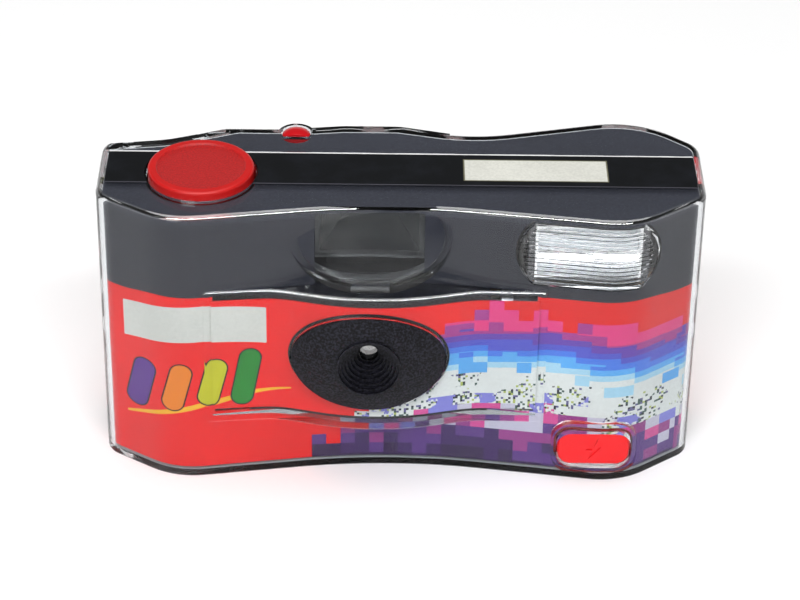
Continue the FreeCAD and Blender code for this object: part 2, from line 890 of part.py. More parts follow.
# Black frame that carries the film, the shutter and the wheel
def chassis():
    box_size = 2 * (shutter_hole + inner_wall)
    light_box = funnel(lens_x, lens_z, (box_size + 2, box_size + 2),
                       (frame_width + 2 * inner_wall, frame_height + 2 * inner_wall),
                       plate_rear, gate_front, inner_wall)
    plate_left = blade_pivot_x - 3.4
    plate = box(plate_left, lens_x + panel_half_width - 5, plate_front, plate_rear,
                cell_deck_bottom, center_deck_top)
    ear = box(plate_left, finder_left - 1.6, plate_front, plate_rear,
              center_deck_bottom, blade_pivot_z + 3.0)
    plate = plate.fuse(ear).cut(rod_y(lens_x, plate_front - 1, plate_rear + 1, lens_z,
                                      shutter_hole))
    gate = box(gate_left, supply_x - supply_wall_inner, gate_front,
               film_plane - film_thickness / 2 - 0.05, gate_bottom, gate_top)
    gate = gate.cut(box(lens_x - frame_width / 2, lens_x + frame_width / 2, 0, 20,
                        lens_z - frame_height / 2, lens_z + frame_height / 2))
    rails = []
    for z in (gate_bottom, film_top + 0.15):
        rails.append(box(gate_left, supply_x - supply_wall_outer, gate_front, film_plane + 0.3,
                         z, z + 1.45))
    nest = ring(cartridge_x, cartridge_y, yoke_bottom, deck_bottom + 0.1,
                chamber_outer, chamber_inner)
    nest = nest.cut(box(-80, 80, cartridge_y + 6.0, 40, 0, body_height))
    nest = nest.cut(box(cartridge_x, 80, 0.5, 40, 0, body_height))
    can = ring(supply_x, supply_y, gate_bottom, gate_top, supply_wall_outer, supply_wall_inner)
    floors = []
    for z in (gate_bottom, film_top + 0.6):
        floors.append(post(supply_x, supply_y, z, z + 1.0, supply_wall_outer))
    can = join([can] + floors)
    can = can.cut(box(-80, 80, film_plane - 0.2, 40, gate_bottom + 1.0, film_top + 0.6))
    can = can.cut(post(supply_x, supply_y, 0, body_height, axle_radius))
    left_deck = core_slab(deck_bottom, deck_top, -half_width, left_deck_end)
    deck_wall = box(left_deck_end - 1.0, left_deck_end, plate_front, gate_front,
                    cell_deck_bottom, deck_top)
    light_room = Part.makeLoft([
        rectangle_wire(lens_x, lens_z, box_size, box_size, plate_rear),
        rectangle_wire(lens_x, lens_z, frame_width, frame_height, gate_front)], True, True)
    deck_wall = deck_wall.cut(light_room)
    nest_link = box(cartridge_x + chamber_inner, left_deck_end, -4.0, -2.8,
                    cell_deck_bottom, deck_bottom)
    center_deck = box(left_deck_end - 1, flash_x - housing_leg_run - 1.5 - part_gap,
                      plate_front, gate_front + 1, center_deck_bottom, center_deck_top)
    cell_deck = box(left_deck_end - 1, cell_right + 3.0, plate_front, gate_front + 1,
                    cell_deck_bottom, cell_deck_bottom + 1.0)
    cell_back = box(cell_left - 1.9, cell_right + 1.6, cell_y + cell_radius + 0.3,
                    cell_y + cell_radius + 1.3, core_inset + 0.1, cell_deck_bottom + 0.5)
    saddles = []
    for x in (cell_left + saddle_run, (cell_left + cell_right) / 2, cell_right - saddle_run):
        saddle = box(x - 1, x + 1, cell_y, cell_y + cell_radius + 0.5,
                     core_inset + 0.1, cell_z - 1.5)
        saddles.append(saddle.cut(rod_x(x - 2, x + 2, cell_y, cell_z, cell_radius + 0.1)))
    ends = []
    for x in (cell_left - 1.9, cell_right + 0.6):
        ends.append(box(x, x + 1.0, cell_y - 4.5, cell_y + cell_radius + 0.5,
                        core_inset + 0.1, cell_deck_bottom + 0.5))
    tube_foot = box(finder_left + 2, lens_x + finder_width / 2 - 2, tube_front + 1.4,
                    tube_front + 2.6, center_deck_top - 0.1, finder_bottom - seat_gap)
    body = join([light_box, plate, gate] + rails + [nest, can, left_deck, deck_wall, nest_link,
                center_deck, cell_deck, cell_back] + saddles + ends + [tube_foot])
    pins = [
        post(striker_x, striker_y, deck_top - 0.1, striker_top + 2.6, pin_radius),
        post(latch_x, latch_y, deck_top - 0.1, latch_top + 0.6, pin_radius),
        post(guide_x, guide_y, deck_top - 0.1, arm_bottom - 0.2, guide_radius),
        post(pawl_x, pawl_y, deck_top - 0.1, wheel_top - 0.2, pin_radius),
        post(counter_x, counter_y, center_deck_top - 0.1, counter_top + 0.5, axle_radius),
        rod_y(blade_pivot_x, blade_front - 0.9, plate_front + 0.1, blade_pivot_z, pin_radius),
    ]
    lugs = []
    for side in (-1, 1):
        y0 = cartridge_y + side * lug_start
        y1 = cartridge_y + side * (lug_start + lug_thickness)
        lug = box(door_axis_x - 0.9, door_axis_x + 0.9, min(y0, y1), max(y0, y1),
                  door_axis_z - 0.7, yoke_top)
        lug = lug.cut(rod_y(door_axis_x, -20, 20, door_axis_z, door_pin_radius + axle_fit))
        lugs.append(lug)
    reach = lug_start + lug_thickness
    lugs.append(box(door_axis_x - 0.9, cartridge_x + chamber_outer, cartridge_y - reach,
                    cartridge_y + reach, yoke_bottom, yoke_top))
    standoffs = []
    for z in (gate_bottom + 4, gate_top - 4):
        standoffs.append(rod_y(supply_x, board_y + board_thickness + 0.05,
                               supply_y - supply_wall_inner - 0.2, z, 1.4))
    body = join([body] + pins + lugs + standoffs)
    window = box(metering_x - sprocket_radius - 0.4, metering_x + sprocket_radius + 0.4,
                 gate_front - 3, film_plane + 1, sprocket_bottom - 0.3, gate_top + 1.5)
    window = window.common(box(-60, 60, -20, film_plane + 1, 0, center_deck_bottom))
    holes = [
        post(cartridge_x, cartridge_y, deck_bottom - 1, deck_top + 1,
             spool_hub + axle_fit),
        post(metering_x, metering_y, sprocket_bottom, body_height, pin_radius + axle_fit),
        window,
        box(blade_pivot_x - 2.5, left_deck_end + 0.1, -40, plate_rear + 0.9,
            blade_pivot_z + 3.1, deck_top + 0.1),
    ]
    for hole in holes:
        body = body.cut(hole)
    return body.removeSplitter()


# Black rear of the camera, which keeps light off the film
def inner_back():
    outer = case_block(core_inset)
    inset = core_inset + inner_wall
    room = join([plan_prism(inset, -1, body_height + 1),
                 lamp_bump(inset, lamp_bottom - 2.0, body_height + 1),
                 eyepiece_bump(inset, finder_bottom - 1.5, body_height + 1)])
    thumb = outline_prism(inset_corners(recess_corners(), -inset),
                          recess_floor - inset, body_height + 5)
    shell = outer.cut(room.cut(thumb))
    shell = shell.common(box(-80, 80, 2.5, 40, 0, core_top))
    eye = box(lens_x - eyepiece_width / 2 - 0.05, lens_x + eyepiece_width / 2 + 0.05, 5, 40,
              finder_z - eyepiece_height / 2 - 0.05, finder_z + eyepiece_height / 2 + 0.05)
    lamp = post(lamp_x, lamp_y, lamp_bottom - 0.1, body_height, lamp_radius + seat_gap)
    counter_eye = box(counter_x - 5, counter_x - 1, 5, 40, counter_mid - 1.6, counter_mid + 1.6)
    tube_seat = box(lens_x - eyepiece_width / 2 - 0.5, lens_x + eyepiece_width / 2 + 0.5,
                    5, tube_rear + 0.1, finder_z - eyepiece_height / 2 - 0.8,
                    finder_z + eyepiece_height / 2 + 0.8)
    holes = [eye, lamp, counter_eye, slot_for_wheel(), under_recess(inset), tube_seat]
    for hole in holes:
        shell = shell.cut(hole)
    return largest(shell.removeSplitter())


def largest(shape):
    return max(shape.Solids, key=lambda solid: solid.Volume)


def viewfinder_tube():
    rear = (eyepiece_width, eyepiece_height + 1.0)
    return funnel(lens_x, finder_z, (finder_width, finder_height), rear, tube_front, tube_rear,
                  tube_wall)


def viewfinder_lens():
    y0 = tube_front - finder_lens_thickness - 0.1
    plate = box(lens_x - finder_width / 2, lens_x + finder_width / 2, y0,
                y0 + finder_lens_thickness, finder_bottom, finder_top)
    hollow = Part.makeSphere(finder_lens_curve,
                             Vector(lens_x, y0 + finder_lens_hollow - finder_lens_curve,
                                    finder_z + finder_lens_rise))
    return plate.cut(hollow)


def eyepiece_lens():
    y0 = tube_rear + 0.1
    plate = box(lens_x - eyepiece_width / 2, lens_x + eyepiece_width / 2, y0,
                y0 + eyepiece_thickness, finder_z - eyepiece_height / 2,
                finder_z + eyepiece_height / 2)
    ball = Part.makeSphere(eyepiece_curve, Vector(lens_x, y0 + eyepiece_thickness
                                                  - eyepiece_curve, finder_z))
    return plate.common(ball)


# Film path
def cartridge_shape(shrink, z0, z1):
    tip = gate_left - 0.4 - shrink
    lip = 0.8 - shrink * 0.7
    radius = cartridge_radius - shrink
    top = math.radians(73)
    low = math.radians(11)
    corners = [
        (cartridge_x, cartridge_y, 0),
        (cartridge_x + radius * math.cos(low), cartridge_y + radius * math.sin(low), 0),
        (tip, film_plane - lip, 0),
        (tip, film_plane + lip, 0),
        (cartridge_x + radius * math.cos(top), cartridge_y + radius * math.sin(top), 0),
    ]
    return post(cartridge_x, cartridge_y, z0, z1, radius).fuse(outline_prism(corners, z0, z1))


def film_cartridge():
    shell = cartridge_shape(0, cartridge_bottom, cartridge_top)
    shell = shell.cut(cartridge_shape(cartridge_wall, cartridge_bottom + cartridge_wall,
                                      cartridge_top - cartridge_wall))
    shell = shell.cut(post(cartridge_x, cartridge_y, 0, body_height,
                           spool_hub + part_gap))
    slot = box(cartridge_x + 12, gate_left + 1, film_plane - film_thickness / 2 - 0.1,
               film_plane + film_thickness / 2 + 0.1, film_bottom - 0.2, film_top + 0.2)
    return shell.cut(slot).removeSplitter()


def cartridge_spool():
    hub = post(cartridge_x, cartridge_y, cartridge_bottom, cartridge_top, spool_hub)
    for z in (cartridge_bottom + cartridge_wall + 0.3, cartridge_top - cartridge_wall - 1.1):
        hub = hub.fuse(post(cartridge_x, cartridge_y, z, z + 0.8,
                            cartridge_radius - cartridge_wall - part_gap))
    for z in (cartridge_bottom - 1, cartridge_top - spool_socket_depth):
        hub = hub.cut(post(cartridge_x, cartridge_y, z, z + spool_socket_depth + 1,
                           spool_socket))
    return hub.removeSplitter()


# The film leaves the gate in line, then runs to the back of the roll
def film_strip():
    bend_x = valley_x + 2.0
    reach = math.hypot(supply_x - bend_x, supply_y - film_plane)
    radius = roll_radius + part_gap + film_thickness / 2
    angle = math.atan2(supply_y - film_plane, supply_x - bend_x) + math.asin(radius / reach)
    length = math.sqrt(reach * reach - radius * radius)
    start = gate_left - 4.5
    flat = box(start, bend_x, film_plane - film_thickness / 2,
               film_plane + film_thickness / 2, film_bottom, film_top)
    run = box(0, length, -film_thickness / 2, film_thickness / 2, film_bottom, film_top)
    run.rotate(Vector(0, 0, 0), Vector(0, 0, 1), math.degrees(angle))
    run.translate(Vector(bend_x, film_plane, 0))
    joint = post(bend_x, film_plane, film_bottom, film_top, film_thickness / 2)
    return join([flat, joint, run])


def supply_spool():
    z0 = gate_bottom + 1.0 + part_gap / 2
    z1 = film_top + 0.6 - part_gap / 2
    core = post(supply_x, supply_y, z0, z1, supply_hub)
    axle = post(supply_x, supply_y, gate_bottom - 0.2, gate_top, axle_radius - axle_fit)
    return core.fuse(axle).removeSplitter()


def film_roll():
    return ring(supply_x, supply_y, film_bottom, film_top, roll_radius, supply_hub)


# Winding
def toothed_disc(x, y, z0, z1, radius, depth, teeth):
    corners = []
    for i in range(teeth):
        for share, reach in ((0.0, radius), (0.5, radius - depth)):
            angle = 2 * math.pi * (i + share) / teeth
            corners.append(Vector(x + reach * math.cos(angle), y + reach * math.sin(angle), z0))
    face = Part.Face(Part.makePolygon(corners + corners[:1]))
    return face.extrude(Vector(0, 0, z1 - z0))


def thumbwheel():
    wheel = toothed_disc(cartridge_x, cartridge_y, wheel_bottom, wheel_top,
                         wheel_radius, wheel_tooth, wheel_teeth)
    dish = ring(cartridge_x, cartridge_y, wheel_top - 0.8, wheel_top + 1,
                wheel_radius - 2.6, spool_hub + 0.8)
    under = ring(cartridge_x, cartridge_y, wheel_bottom - 1, wheel_bottom + 0.9,
                 wheel_radius - 2.0, spool_hub + 1.4)
    shaft = post(cartridge_x, cartridge_y, cartridge_top + 0.1, wheel_bottom + 0.5, spool_hub)
    key = post(cartridge_x, cartridge_y, cartridge_top - spool_socket_depth + 0.3,
               cartridge_top + 0.3, spool_socket - 0.08)
    return join([wheel.cut(dish).cut(under), shaft, key])


def ratchet_pawl():
    hub = post(pawl_x, pawl_y, wheel_bottom + 0.2, wheel_top - 0.3, 1.5)
    near = cartridge_y - wheel_radius - part_gap
    corners = [(pawl_x, pawl_y - 1.0, 0), (pawl_x, pawl_y + 0.6, 0),
               (cartridge_x + 1.0, near, 0), (cartridge_x + 0.2, near - 1.1, 0)]
    arm = outline_prism(corners, wheel_bottom + 0.2, wheel_top - 0.3)
    bore = post(pawl_x, pawl_y, 0, body_height, pin_radius + axle_fit)
    return hub.fuse(arm).cut(bore).removeSplitter()


def metering_shaft():
    shaft = post(metering_x, metering_y, sprocket_bottom, counter_top, pin_radius)
    sprocket = toothed_disc(metering_x, metering_y, sprocket_bottom, sprocket_bottom + 1.4,
                            sprocket_radius, 0.7, 8)
    cam = post(metering_x, metering_y, counter_bottom, counter_top, cam_radius() - 0.5)
    nose = box(metering_x, metering_x + cam_radius(), metering_y - 0.3, metering_y + 0.3,
               counter_bottom, counter_top)
    return join([shaft, sprocket, cam, nose])


def cam_radius():
    between = math.hypot(counter_x - metering_x, counter_y - metering_y)
    return between - counter_radius - part_gap


def counter_disc():
    disc = toothed_disc(counter_x, counter_y, counter_bottom, counter_bottom + 1.2,
                        counter_radius, 0.5, counter_teeth)
    drum = post(counter_x, counter_y, counter_bottom + 1.2, counter_top, counter_radius - 0.5)
    bore = post(counter_x, counter_y, 0, body_height, axle_radius + axle_fit)
    return disc.fuse(drum).cut(bore).removeSplitter()


# Shutter release: the button's arm presses a latch that frees the striker, and the
# striker knocks the blade open
def turned_bar(x0, y0, x1, y1, width, z0, z1):
    length = math.hypot(x1 - x0, y1 - y0)
    bar = box(0, length, -width / 2, width / 2, z0, z1)
    bar.rotate(Vector(0, 0, 0), Vector(0, 0, 1), math.degrees(math.atan2(y1 - y0, x1 - x0)))
    bar.translate(Vector(x0, y0, 0))
    return bar


def shutter_button():
    top = post(button_x, button_y, button_top - button_height, button_top, button_radius)
    rim = [e for e in top.Edges if e.Curve.TypeId == "Part::GeomCircle"
           and abs(e.Vertexes[0].Z - button_top) < 1e-6]
    top = top.makeFillet(0.5, rim)
    dish = Part.makeCone(button_radius - button_rim - button_dish,
                         button_radius - button_rim + button_dish, 2 * button_dish,
                         Vector(button_x, button_y, button_top - button_dish))
    hollow = post(button_x, button_y, button_top - button_height - 1,
                  button_top - button_dish - 0.9, button_radius - 1.1)
    neck = post(button_x, button_y, arm_bottom, button_top - button_dish - 0.5, 2.6)
    arm = turned_bar(button_x, button_y, guide_x, guide_y, button_arm_width,
                     arm_bottom, arm_top)
    sleeve = post(guide_x, guide_y, sleeve_bottom, arm_top, guide_radius + guide_wall)
    button = join([top.cut(dish).cut(hollow), neck, arm, sleeve, wedge_finger()])
    return button.cut(post(guide_x, guide_y, 0, body_height + 5, guide_radius + axle_fit))


# A sloped finger that pushes the latch aside as the button goes down
def wedge_finger():
    low = latch_top + finger_gap
    tip = latch_x - latch_rear_left - seat_gap
    slope = finger_slope * (button_travel + finger_gap)
    corners = [(finger_x, low, 0), (tip, low, 0),
               (tip + slope, low + button_travel + finger_gap, 0),
               (tip + slope, arm_bottom + 0.2, 0), (finger_x, arm_bottom + 0.2, 0)]
    return front_prism(corners, finger_y - 1, finger_y + 1)


# A coil of half turns, each tilted a little so that it ends half a pitch higher
def coil(x, y, z0, z1, radius, wire, turns):
    rise = (z1 - z0 - wire) / (2 * turns)
    halves = []
    for i in range(2 * turns):
        side = 1 if i % 2 == 0 else -1
        z = z0 + wire / 2 + i * rise
        section = Part.Face(Part.Wire(Part.makeCircle(
            wire / 2, Vector(x + side * radius, y, z), Vector(0, 1, 0))))
        halves.append(section.revolve(Vector(x, y, z + rise / 2),
                                      Vector(side * rise, 0, 2 * radius), 180))
    return join(halves)


def button_spring():
    return coil(guide_x, guide_y, deck_top + 0.1, sleeve_bottom - 0.1,
                guide_radius + 0.45, 0.35, 4)


def striker_lever():
    hub = post(striker_x, striker_y, striker_bottom, striker_top, 2.0)
    arm = turned_bar(striker_x, striker_y, striker_x - striker_lean,
                     striker_y - striker_reach, 2.2, striker_bottom, striker_top)
    bore = post(striker_x, striker_y, 0, body_height, pin_radius + axle_fit)
    return hub.fuse(arm).cut(bore).removeSplitter()


def striker_spring():
    return coil(striker_x, striker_y, striker_top + 0.15, striker_top + 2.3,
                pin_radius + 0.4, 0.35, 4)


def release_latch():
    hub = post(latch_x, latch_y, latch_bottom, latch_top, 1.5)
    front = box(latch_x - 1.2, latch_x + 0.1, latch_y - latch_reach, latch_y,
                latch_bottom, latch_top)
    hook = box(latch_x, latch_x + 0.6, latch_y - latch_reach, latch_y - latch_reach + 1.4,
               latch_bottom, latch_top)
    rear = box(latch_x - latch_rear_left, latch_x + 0.9, latch_y, latch_y + 3.6,
               latch_bottom, latch_top)
    bore = post(latch_x, latch_y, 0, body_height, pin_radius + axle_fit)
    return join([hub, front, hook, rear]).cut(bore)


def shutter_blade():
    cover = rod_y(lens_x, blade_front, blade_rear, lens_z, shutter_hole + 1.0)
    hub = rod_y(blade_pivot_x, blade_front, blade_rear, blade_pivot_z, 1.9)
    run = math.hypot(lens_x - blade_pivot_x, lens_z - blade_pivot_z)
    arm = box(0, run, blade_front, blade_rear, -1.3, 1.3)
    slope = math.degrees(math.atan2(lens_z - blade_pivot_z, lens_x - blade_pivot_x))
    arm.rotate(Vector(0, 0, 0), Vector(0, 1, 0), -slope)
    arm.translate(Vector(blade_pivot_x, 0, blade_pivot_z))
    tail = box(blade_pivot_x - 0.9, tab_x + 0.6, blade_front, blade_rear,
               blade_pivot_z, striker_top - 0.2)
    tab = box(tab_x, tab_x + 0.6, blade_front, blade_rear + 2.2,
              striker_bottom + 0.2, striker_top - 0.2)
    blade = join([cover, hub, arm, tail, tab])
    return blade.cut(rod_y(blade_pivot_x, -40, 0, blade_pivot_z, pin_radius + axle_fit))


def shutter_spring():
    spring = coil(0, 0, 0, 0.62, pin_radius + 0.35, 0.2, 2)
    spring.rotate(Vector(0, 0, 0), Vector(1, 0, 0), -90)
    return spring.translated(Vector(blade_pivot_x, blade_front - 0.78, blade_pivot_z))


# Flash
def flash_lens():
    body = plan_prism(0.15, 0, body_height).cut(plan_prism(flash_lens_thickness, -1,
                                                           body_height + 1))
    lens = body.common(barrel_window(0, -40, -8))
    pitch = (flash_height - 1.2) / flash_ribs
    ribs = plan_prism(-0.2, 0, body_height).cut(plan_prism(0.3, -1, body_height + 1))
    bars = []
    for i in range(flash_ribs):
        z = flash_z - flash_height / 2 + 0.6 + pitch * (i + 0.25)
        bars.append(box(-80, 80, -40, -8, z, z + pitch * 0.5))
    ribs = ribs.common(Part.makeCompound(bars)).common(barrel_window(-0.7, -40, -8))
    return join([lens] + ribs.Solids)


def trough(y_open, y_back, half_height, x0, x1):
    wire = Part.Wire([
        Part.Arc(Vector(x0, y_open, flash_z - half_height), Vector(x0, y_back, flash_z),
                 Vector(x0, y_open, flash_z + half_height)).toShape(),
        Part.LineSegment(Vector(x0, y_open, flash_z + half_height),
                         Vector(x0, y_open, flash_z - half_height)).toShape(),
    ])
    return Part.Face(wire).extrude(Vector(x1 - x0, 0, 0))


def reflector_outer():
    return trough(reflector_front, reflector_back, reflector_half_height,
                  flash_x - reflector_width / 2, flash_x + reflector_width / 2)


def flash_reflector():
    wall = reflector_wall
    room = trough(reflector_front - 0.01, reflector_back - wall, reflector_half_height - wall,
                  flash_x - reflector_width / 2 + wall, flash_x + reflector_width / 2 - wall)
    cup = reflector_outer().cut(room).cut(rod_x(0, 60, tube_y, flash_z, tube_radius + 0.12))
    return cup.common(plan_prism(core_inset + 0.05, 0, body_height))


def flash_housing():
    x0 = flash_x - reflector_width / 2 - 1.2
    x1 = flash_x + reflector_width / 2 + 1.2
    z0 = flash_z - reflector_half_height - 0.9
    z1 = min(flash_z + reflector_half_height + 0.9, core_top - 0.1)
    block = box(x0, x1, reflector_front + 0.1, reflector_back + 1.0, z0, z1)
    room = trough(reflector_front - 0.1, reflector_back + 0.1, reflector_half_height + 0.1,
                  x0 + 1.1, x1 - 1.1)
    block = block.cut(room).cut(rod_x(0, 60, tube_y, flash_z, tube_radius + 0.12))
    block = block.common(plan_prism(core_inset + 0.05, 0, body_height))
    legs = []
    for x in (flash_x - housing_leg_run, flash_x + housing_leg_run):
        legs.append(box(x - 1.5, x + 1.5, board_y - 1.2, board_y - 0.1, gate_top - 2.5,
                        z0 + 1.0))
        legs.append(box(x - 1.5, x + 1.5, reflector_back + 0.9, board_y - 0.1, z0, z0 + 1.0))
    return join([block] + legs)


def xenon_tube():
    return rod_x(flash_x - reflector_width / 2 - 2.0, flash_x + reflector_width / 2 + 2.0,
                 tube_y, flash_z, tube_radius)


def circuit_board():
    upper = box(board_left, board_right, board_y, board_y + board_thickness,
                cell_deck_bottom + 1.6, gate_top - 1.0)
    lower = box(cell_right + 3.5, board_right - 1, board_y, board_y + board_thickness,
                core_inset + 1.2, cell_deck_bottom + 2)
    board = upper.fuse(lower).removeSplitter()
    for z in (gate_bottom + 4, gate_top - 4):
        board = board.cut(rod_y(supply_x, board_y - 1, board_y + 2, z, 0.6))
    return board


def main_capacitor():
    x0 = capacitor_left
    can = rod_x(x0, x0 + capacitor_length, capacitor_y, capacitor_z, capacitor_radius)
    groove = rod_x(x0 + 2.2, x0 + 2.8, capacitor_y, capacitor_z, capacitor_radius + 1)
    groove = groove.cut(rod_x(x0 + 2, x0 + 3, capacitor_y, capacitor_z,
                              capacitor_radius - 0.3))
    return can.cut(groove)


def transformer():
    size = transformer_size
    x0 = capacitor_left
    y1 = board_y - 0.1
    z0 = capacitor_z - capacitor_radius - 1.0 - size
    core = box(x0, x0 + size, y1 - size + 1, y1, z0, z0 + 1.8)
    core = core.fuse(box(x0, x0 + size, y1 - size + 1, y1, z0 + size - 1.8, z0 + size))
    winding = post(x0 + size / 2, y1 - size / 2 + 0.5, z0 + 1.7, z0 + size - 1.7,
                   size / 2 - 1.0)
    return join([core, winding])


def trigger_coil():
    x0 = capacitor_left + transformer_size + trigger_coil_gap
    y = board_y - 0.1 - trigger_coil_radius
    z = capacitor_z - capacitor_radius - trigger_coil_drop
    return rod_x(x0, x0 + trigger_coil_length, y, z, trigger_coil_radius)


# Two resistors, a diode and a transistor stand on the front of the board
def board_parts():
    x0 = capacitor_left + transformer_size + trigger_coil_gap
    z0 = capacitor_z - capacitor_radius - trigger_coil_drop
    parts = []
    for i in range(3):
        parts.append(rod_x(x0 + 1, x0 + 6, board_y - 1.1, z0 - 5 - 2.6 * i, 1.0))
    can = rod_y(x0 + 13, board_y - 3.2, board_y - 0.1, z0, 2.2)
    parts.append(can.cut(box(x0 + 10, x0 + 18, -40, 0, z0 - 4, z0 - 1.3)))
    return Part.makeCompound(parts)


def ready_lamp():
    z0 = deck_top + 0.1
    z1 = core_top - lamp_bulb_drop - lamp_bulb_radius
    lamp = post(lamp_x, lamp_bulb_y, z0, z1, lamp_bulb_radius)
    tip = Part.makeSphere(lamp_bulb_radius, Vector(lamp_x, lamp_bulb_y, z1))
    return lamp.fuse(tip).removeSplitter()


def ready_lamp_lens():
    rod = lamp_room(0, lamp_bottom, lamp_top)
    rise = lamp_top - body_height + 0.6
    dome = ellipsoid(lamp_x, lamp_y, lamp_top - rise, lamp_radius * 1.02, lamp_radius * 1.02, rise)
    below = box(-80, 80, -40, 40, lamp_bottom - 1, lamp_top - rise)
    return rod.common(dome.fuse(below)).removeSplitter()


def flash_button():
    cap = flash_button_room(0, flash_button_front, flash_flange_front)
    cap = cap.makeFillet(0.6, [e for e in cap.Edges
                               if all(abs(v.Y - flash_button_front) < 1e-6
                                      for v in e.Vertexes)])
    flange = flash_button_room(flash_button_rim, flash_flange_front,
                               flash_flange_front + 0.8)
    stem = rod_y(flash_button_x, flash_flange_front, stem_end, flash_button_z, stem_radius)
    button = join([cap, flange, stem])
    bolt = front_prism(bolt_corners(), flash_button_front - 1, flash_button_front + 0.25)
    return button.cut(bolt)


# A plain lightning bolt, as such buttons carry
def bolt_corners():
    points = [(3, 8), (-5, -1), (-0.7, -1), (-3, -8), (5, 1.3), (0.7, 1.3)]
    unit = bolt_height / 16
    return [(flash_button_x + x * unit, flash_button_z + z * unit, 0) for x, z in points]


def switch_contact():
    foot = box(flash_button_x - switch_half_width, flash_button_x + switch_half_width,
               board_y - 0.1 - contact_thickness, board_y - 0.1, flash_button_z - 1.2,
               flash_button_z + 1.2)
    crown = stem_end + flash_button_travel + part_gap
    dome = Part.makeSphere(contact_curve, Vector(flash_button_x, crown + contact_curve,
                                                 flash_button_z))
    dome = dome.common(box(-80, 80, -40, board_y - 0.1, 0, body_height))
    return foot.fuse(dome).removeSplitter()


def sync_contact():
    strips = []
    for z in (lens_z + sync_rise, lens_z + sync_rise + sync_pitch):
        strips.append(box(lens_x + sync_run, board_left + 1.0, plate_front - 0.45,
                          plate_front - 0.1, z, z + sync_width))
    return Part.makeCompound(strips)


def battery():
    can = rod_x(cell_left, cell_right - 0.9, cell_y, cell_z, cell_radius)
    button = rod_x(cell_right - 1, cell_right, cell_y, cell_z, 1.9)
    return can.fuse(button).removeSplitter()


def battery_contact(x, side):
    plate = box(x, x + contact_thickness, cell_y - 3.5, cell_y + 3.5, cell_z - 3.5,
                cell_z + 3.5)
    if side < 0:
        bump = Part.makeCone(2.2, 1.0, 0.3, Vector(x + contact_thickness, cell_y, cell_z),
                             Vector(1, 0, 0))
        plate = plate.fuse(bump)
    return plate


def film_door():
    plate = post(cartridge_x, cartridge_y, door_lift, door_lift + door_thickness, door_radius)
    plate = plate.common(box(-80, door_axis_x, -40, 40, 0, 5))
    barrel = rod_y(door_axis_x, cartridge_y - barrel_half, cartridge_y + barrel_half,
                   door_axis_z, door_barrel_radius)
    pins = rod_y(door_axis_x, cartridge_y - lug_start - lug_thickness,
                 cartridge_y + lug_start + lug_thickness, door_axis_z, door_pin_radius)
    cup = ring(cartridge_x - 1.5, cartridge_y, door_lift + 0.5, cartridge_bottom - part_gap,
               cup_radius, cup_radius - 1.1)
    door = join([plate, barrel, pins, cup])
    for side in (-1, 1):
        y0 = cartridge_y + side * (lug_start - part_gap)
        y1 = cartridge_y + side * (door_radius + 2)
        corner = box(door_axis_x - 1.5, door_axis_x + 3, min(y0, y1), max(y0, y1), -1, 4)
        pin = rod_y(door_axis_x, -30, 30, door_axis_z, door_pin_radius)
        door = door.cut(corner.cut(pin))
    return door.removeSplitter()


os.makedirs("parts", exist_ok=True)


def save(name, shape):
    shape.exportStep("parts/" + name + ".step")
    print(name, "solids", len(shape.Solids), "volume", round(shape.Volume, 1),
          "valid", shape.isValid())


pieces = [
    front_cover, rear_cover, seal_label, front_card, rear_card, lens_panel, taking_lens,
    aperture_plate, chassis, inner_back, viewfinder_tube, viewfinder_lens, eyepiece_lens,
    film_cartridge, cartridge_spool, film_strip, supply_spool, film_roll, thumbwheel,
    ratchet_pawl, metering_shaft, counter_disc, shutter_button, button_spring, striker_lever,
    striker_spring, release_latch, shutter_blade, shutter_spring, flash_lens,
    flash_reflector, flash_housing, xenon_tube, circuit_board, main_capacitor, transformer,
    trigger_coil, board_parts, ready_lamp, ready_lamp_lens, flash_button, switch_contact,
    sync_contact, battery, film_door,
]
for piece in pieces:
    save(piece.__name__, piece())
save("battery_contact_minus", battery_contact(cell_left - 0.9, -1))
save("battery_contact_plus", battery_contact(cell_right + 0.05, 1))
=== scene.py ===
import bpy
import math
from mathutils import Matrix, Vector


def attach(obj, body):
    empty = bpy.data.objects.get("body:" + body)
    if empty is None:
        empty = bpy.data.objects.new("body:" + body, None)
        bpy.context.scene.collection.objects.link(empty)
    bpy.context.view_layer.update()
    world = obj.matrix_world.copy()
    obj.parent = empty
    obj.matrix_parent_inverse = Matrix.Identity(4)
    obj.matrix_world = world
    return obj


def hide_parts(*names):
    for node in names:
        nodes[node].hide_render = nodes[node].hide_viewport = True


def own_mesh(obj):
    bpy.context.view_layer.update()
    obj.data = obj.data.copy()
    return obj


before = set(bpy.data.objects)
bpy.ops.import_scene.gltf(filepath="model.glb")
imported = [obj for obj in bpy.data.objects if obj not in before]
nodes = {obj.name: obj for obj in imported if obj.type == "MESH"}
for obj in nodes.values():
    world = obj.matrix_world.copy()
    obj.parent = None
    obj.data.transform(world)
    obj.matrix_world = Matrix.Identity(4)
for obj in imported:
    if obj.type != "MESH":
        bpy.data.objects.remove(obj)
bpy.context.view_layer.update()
print("frame loaded:", len(nodes), "nodes")

# Camera, at the photograph's angle; lengths in metres, angles in degrees
cameraView = {
    "elevation": 33.338,
    "yaw": -0.497,
    "roll": 0.894,
    "distance": 0.53672,
    "lens": 128.76,
    "sensor": 36,
    "nearest": 0.01,
    "target": (0.000117, 0.0, 0.027979),
}


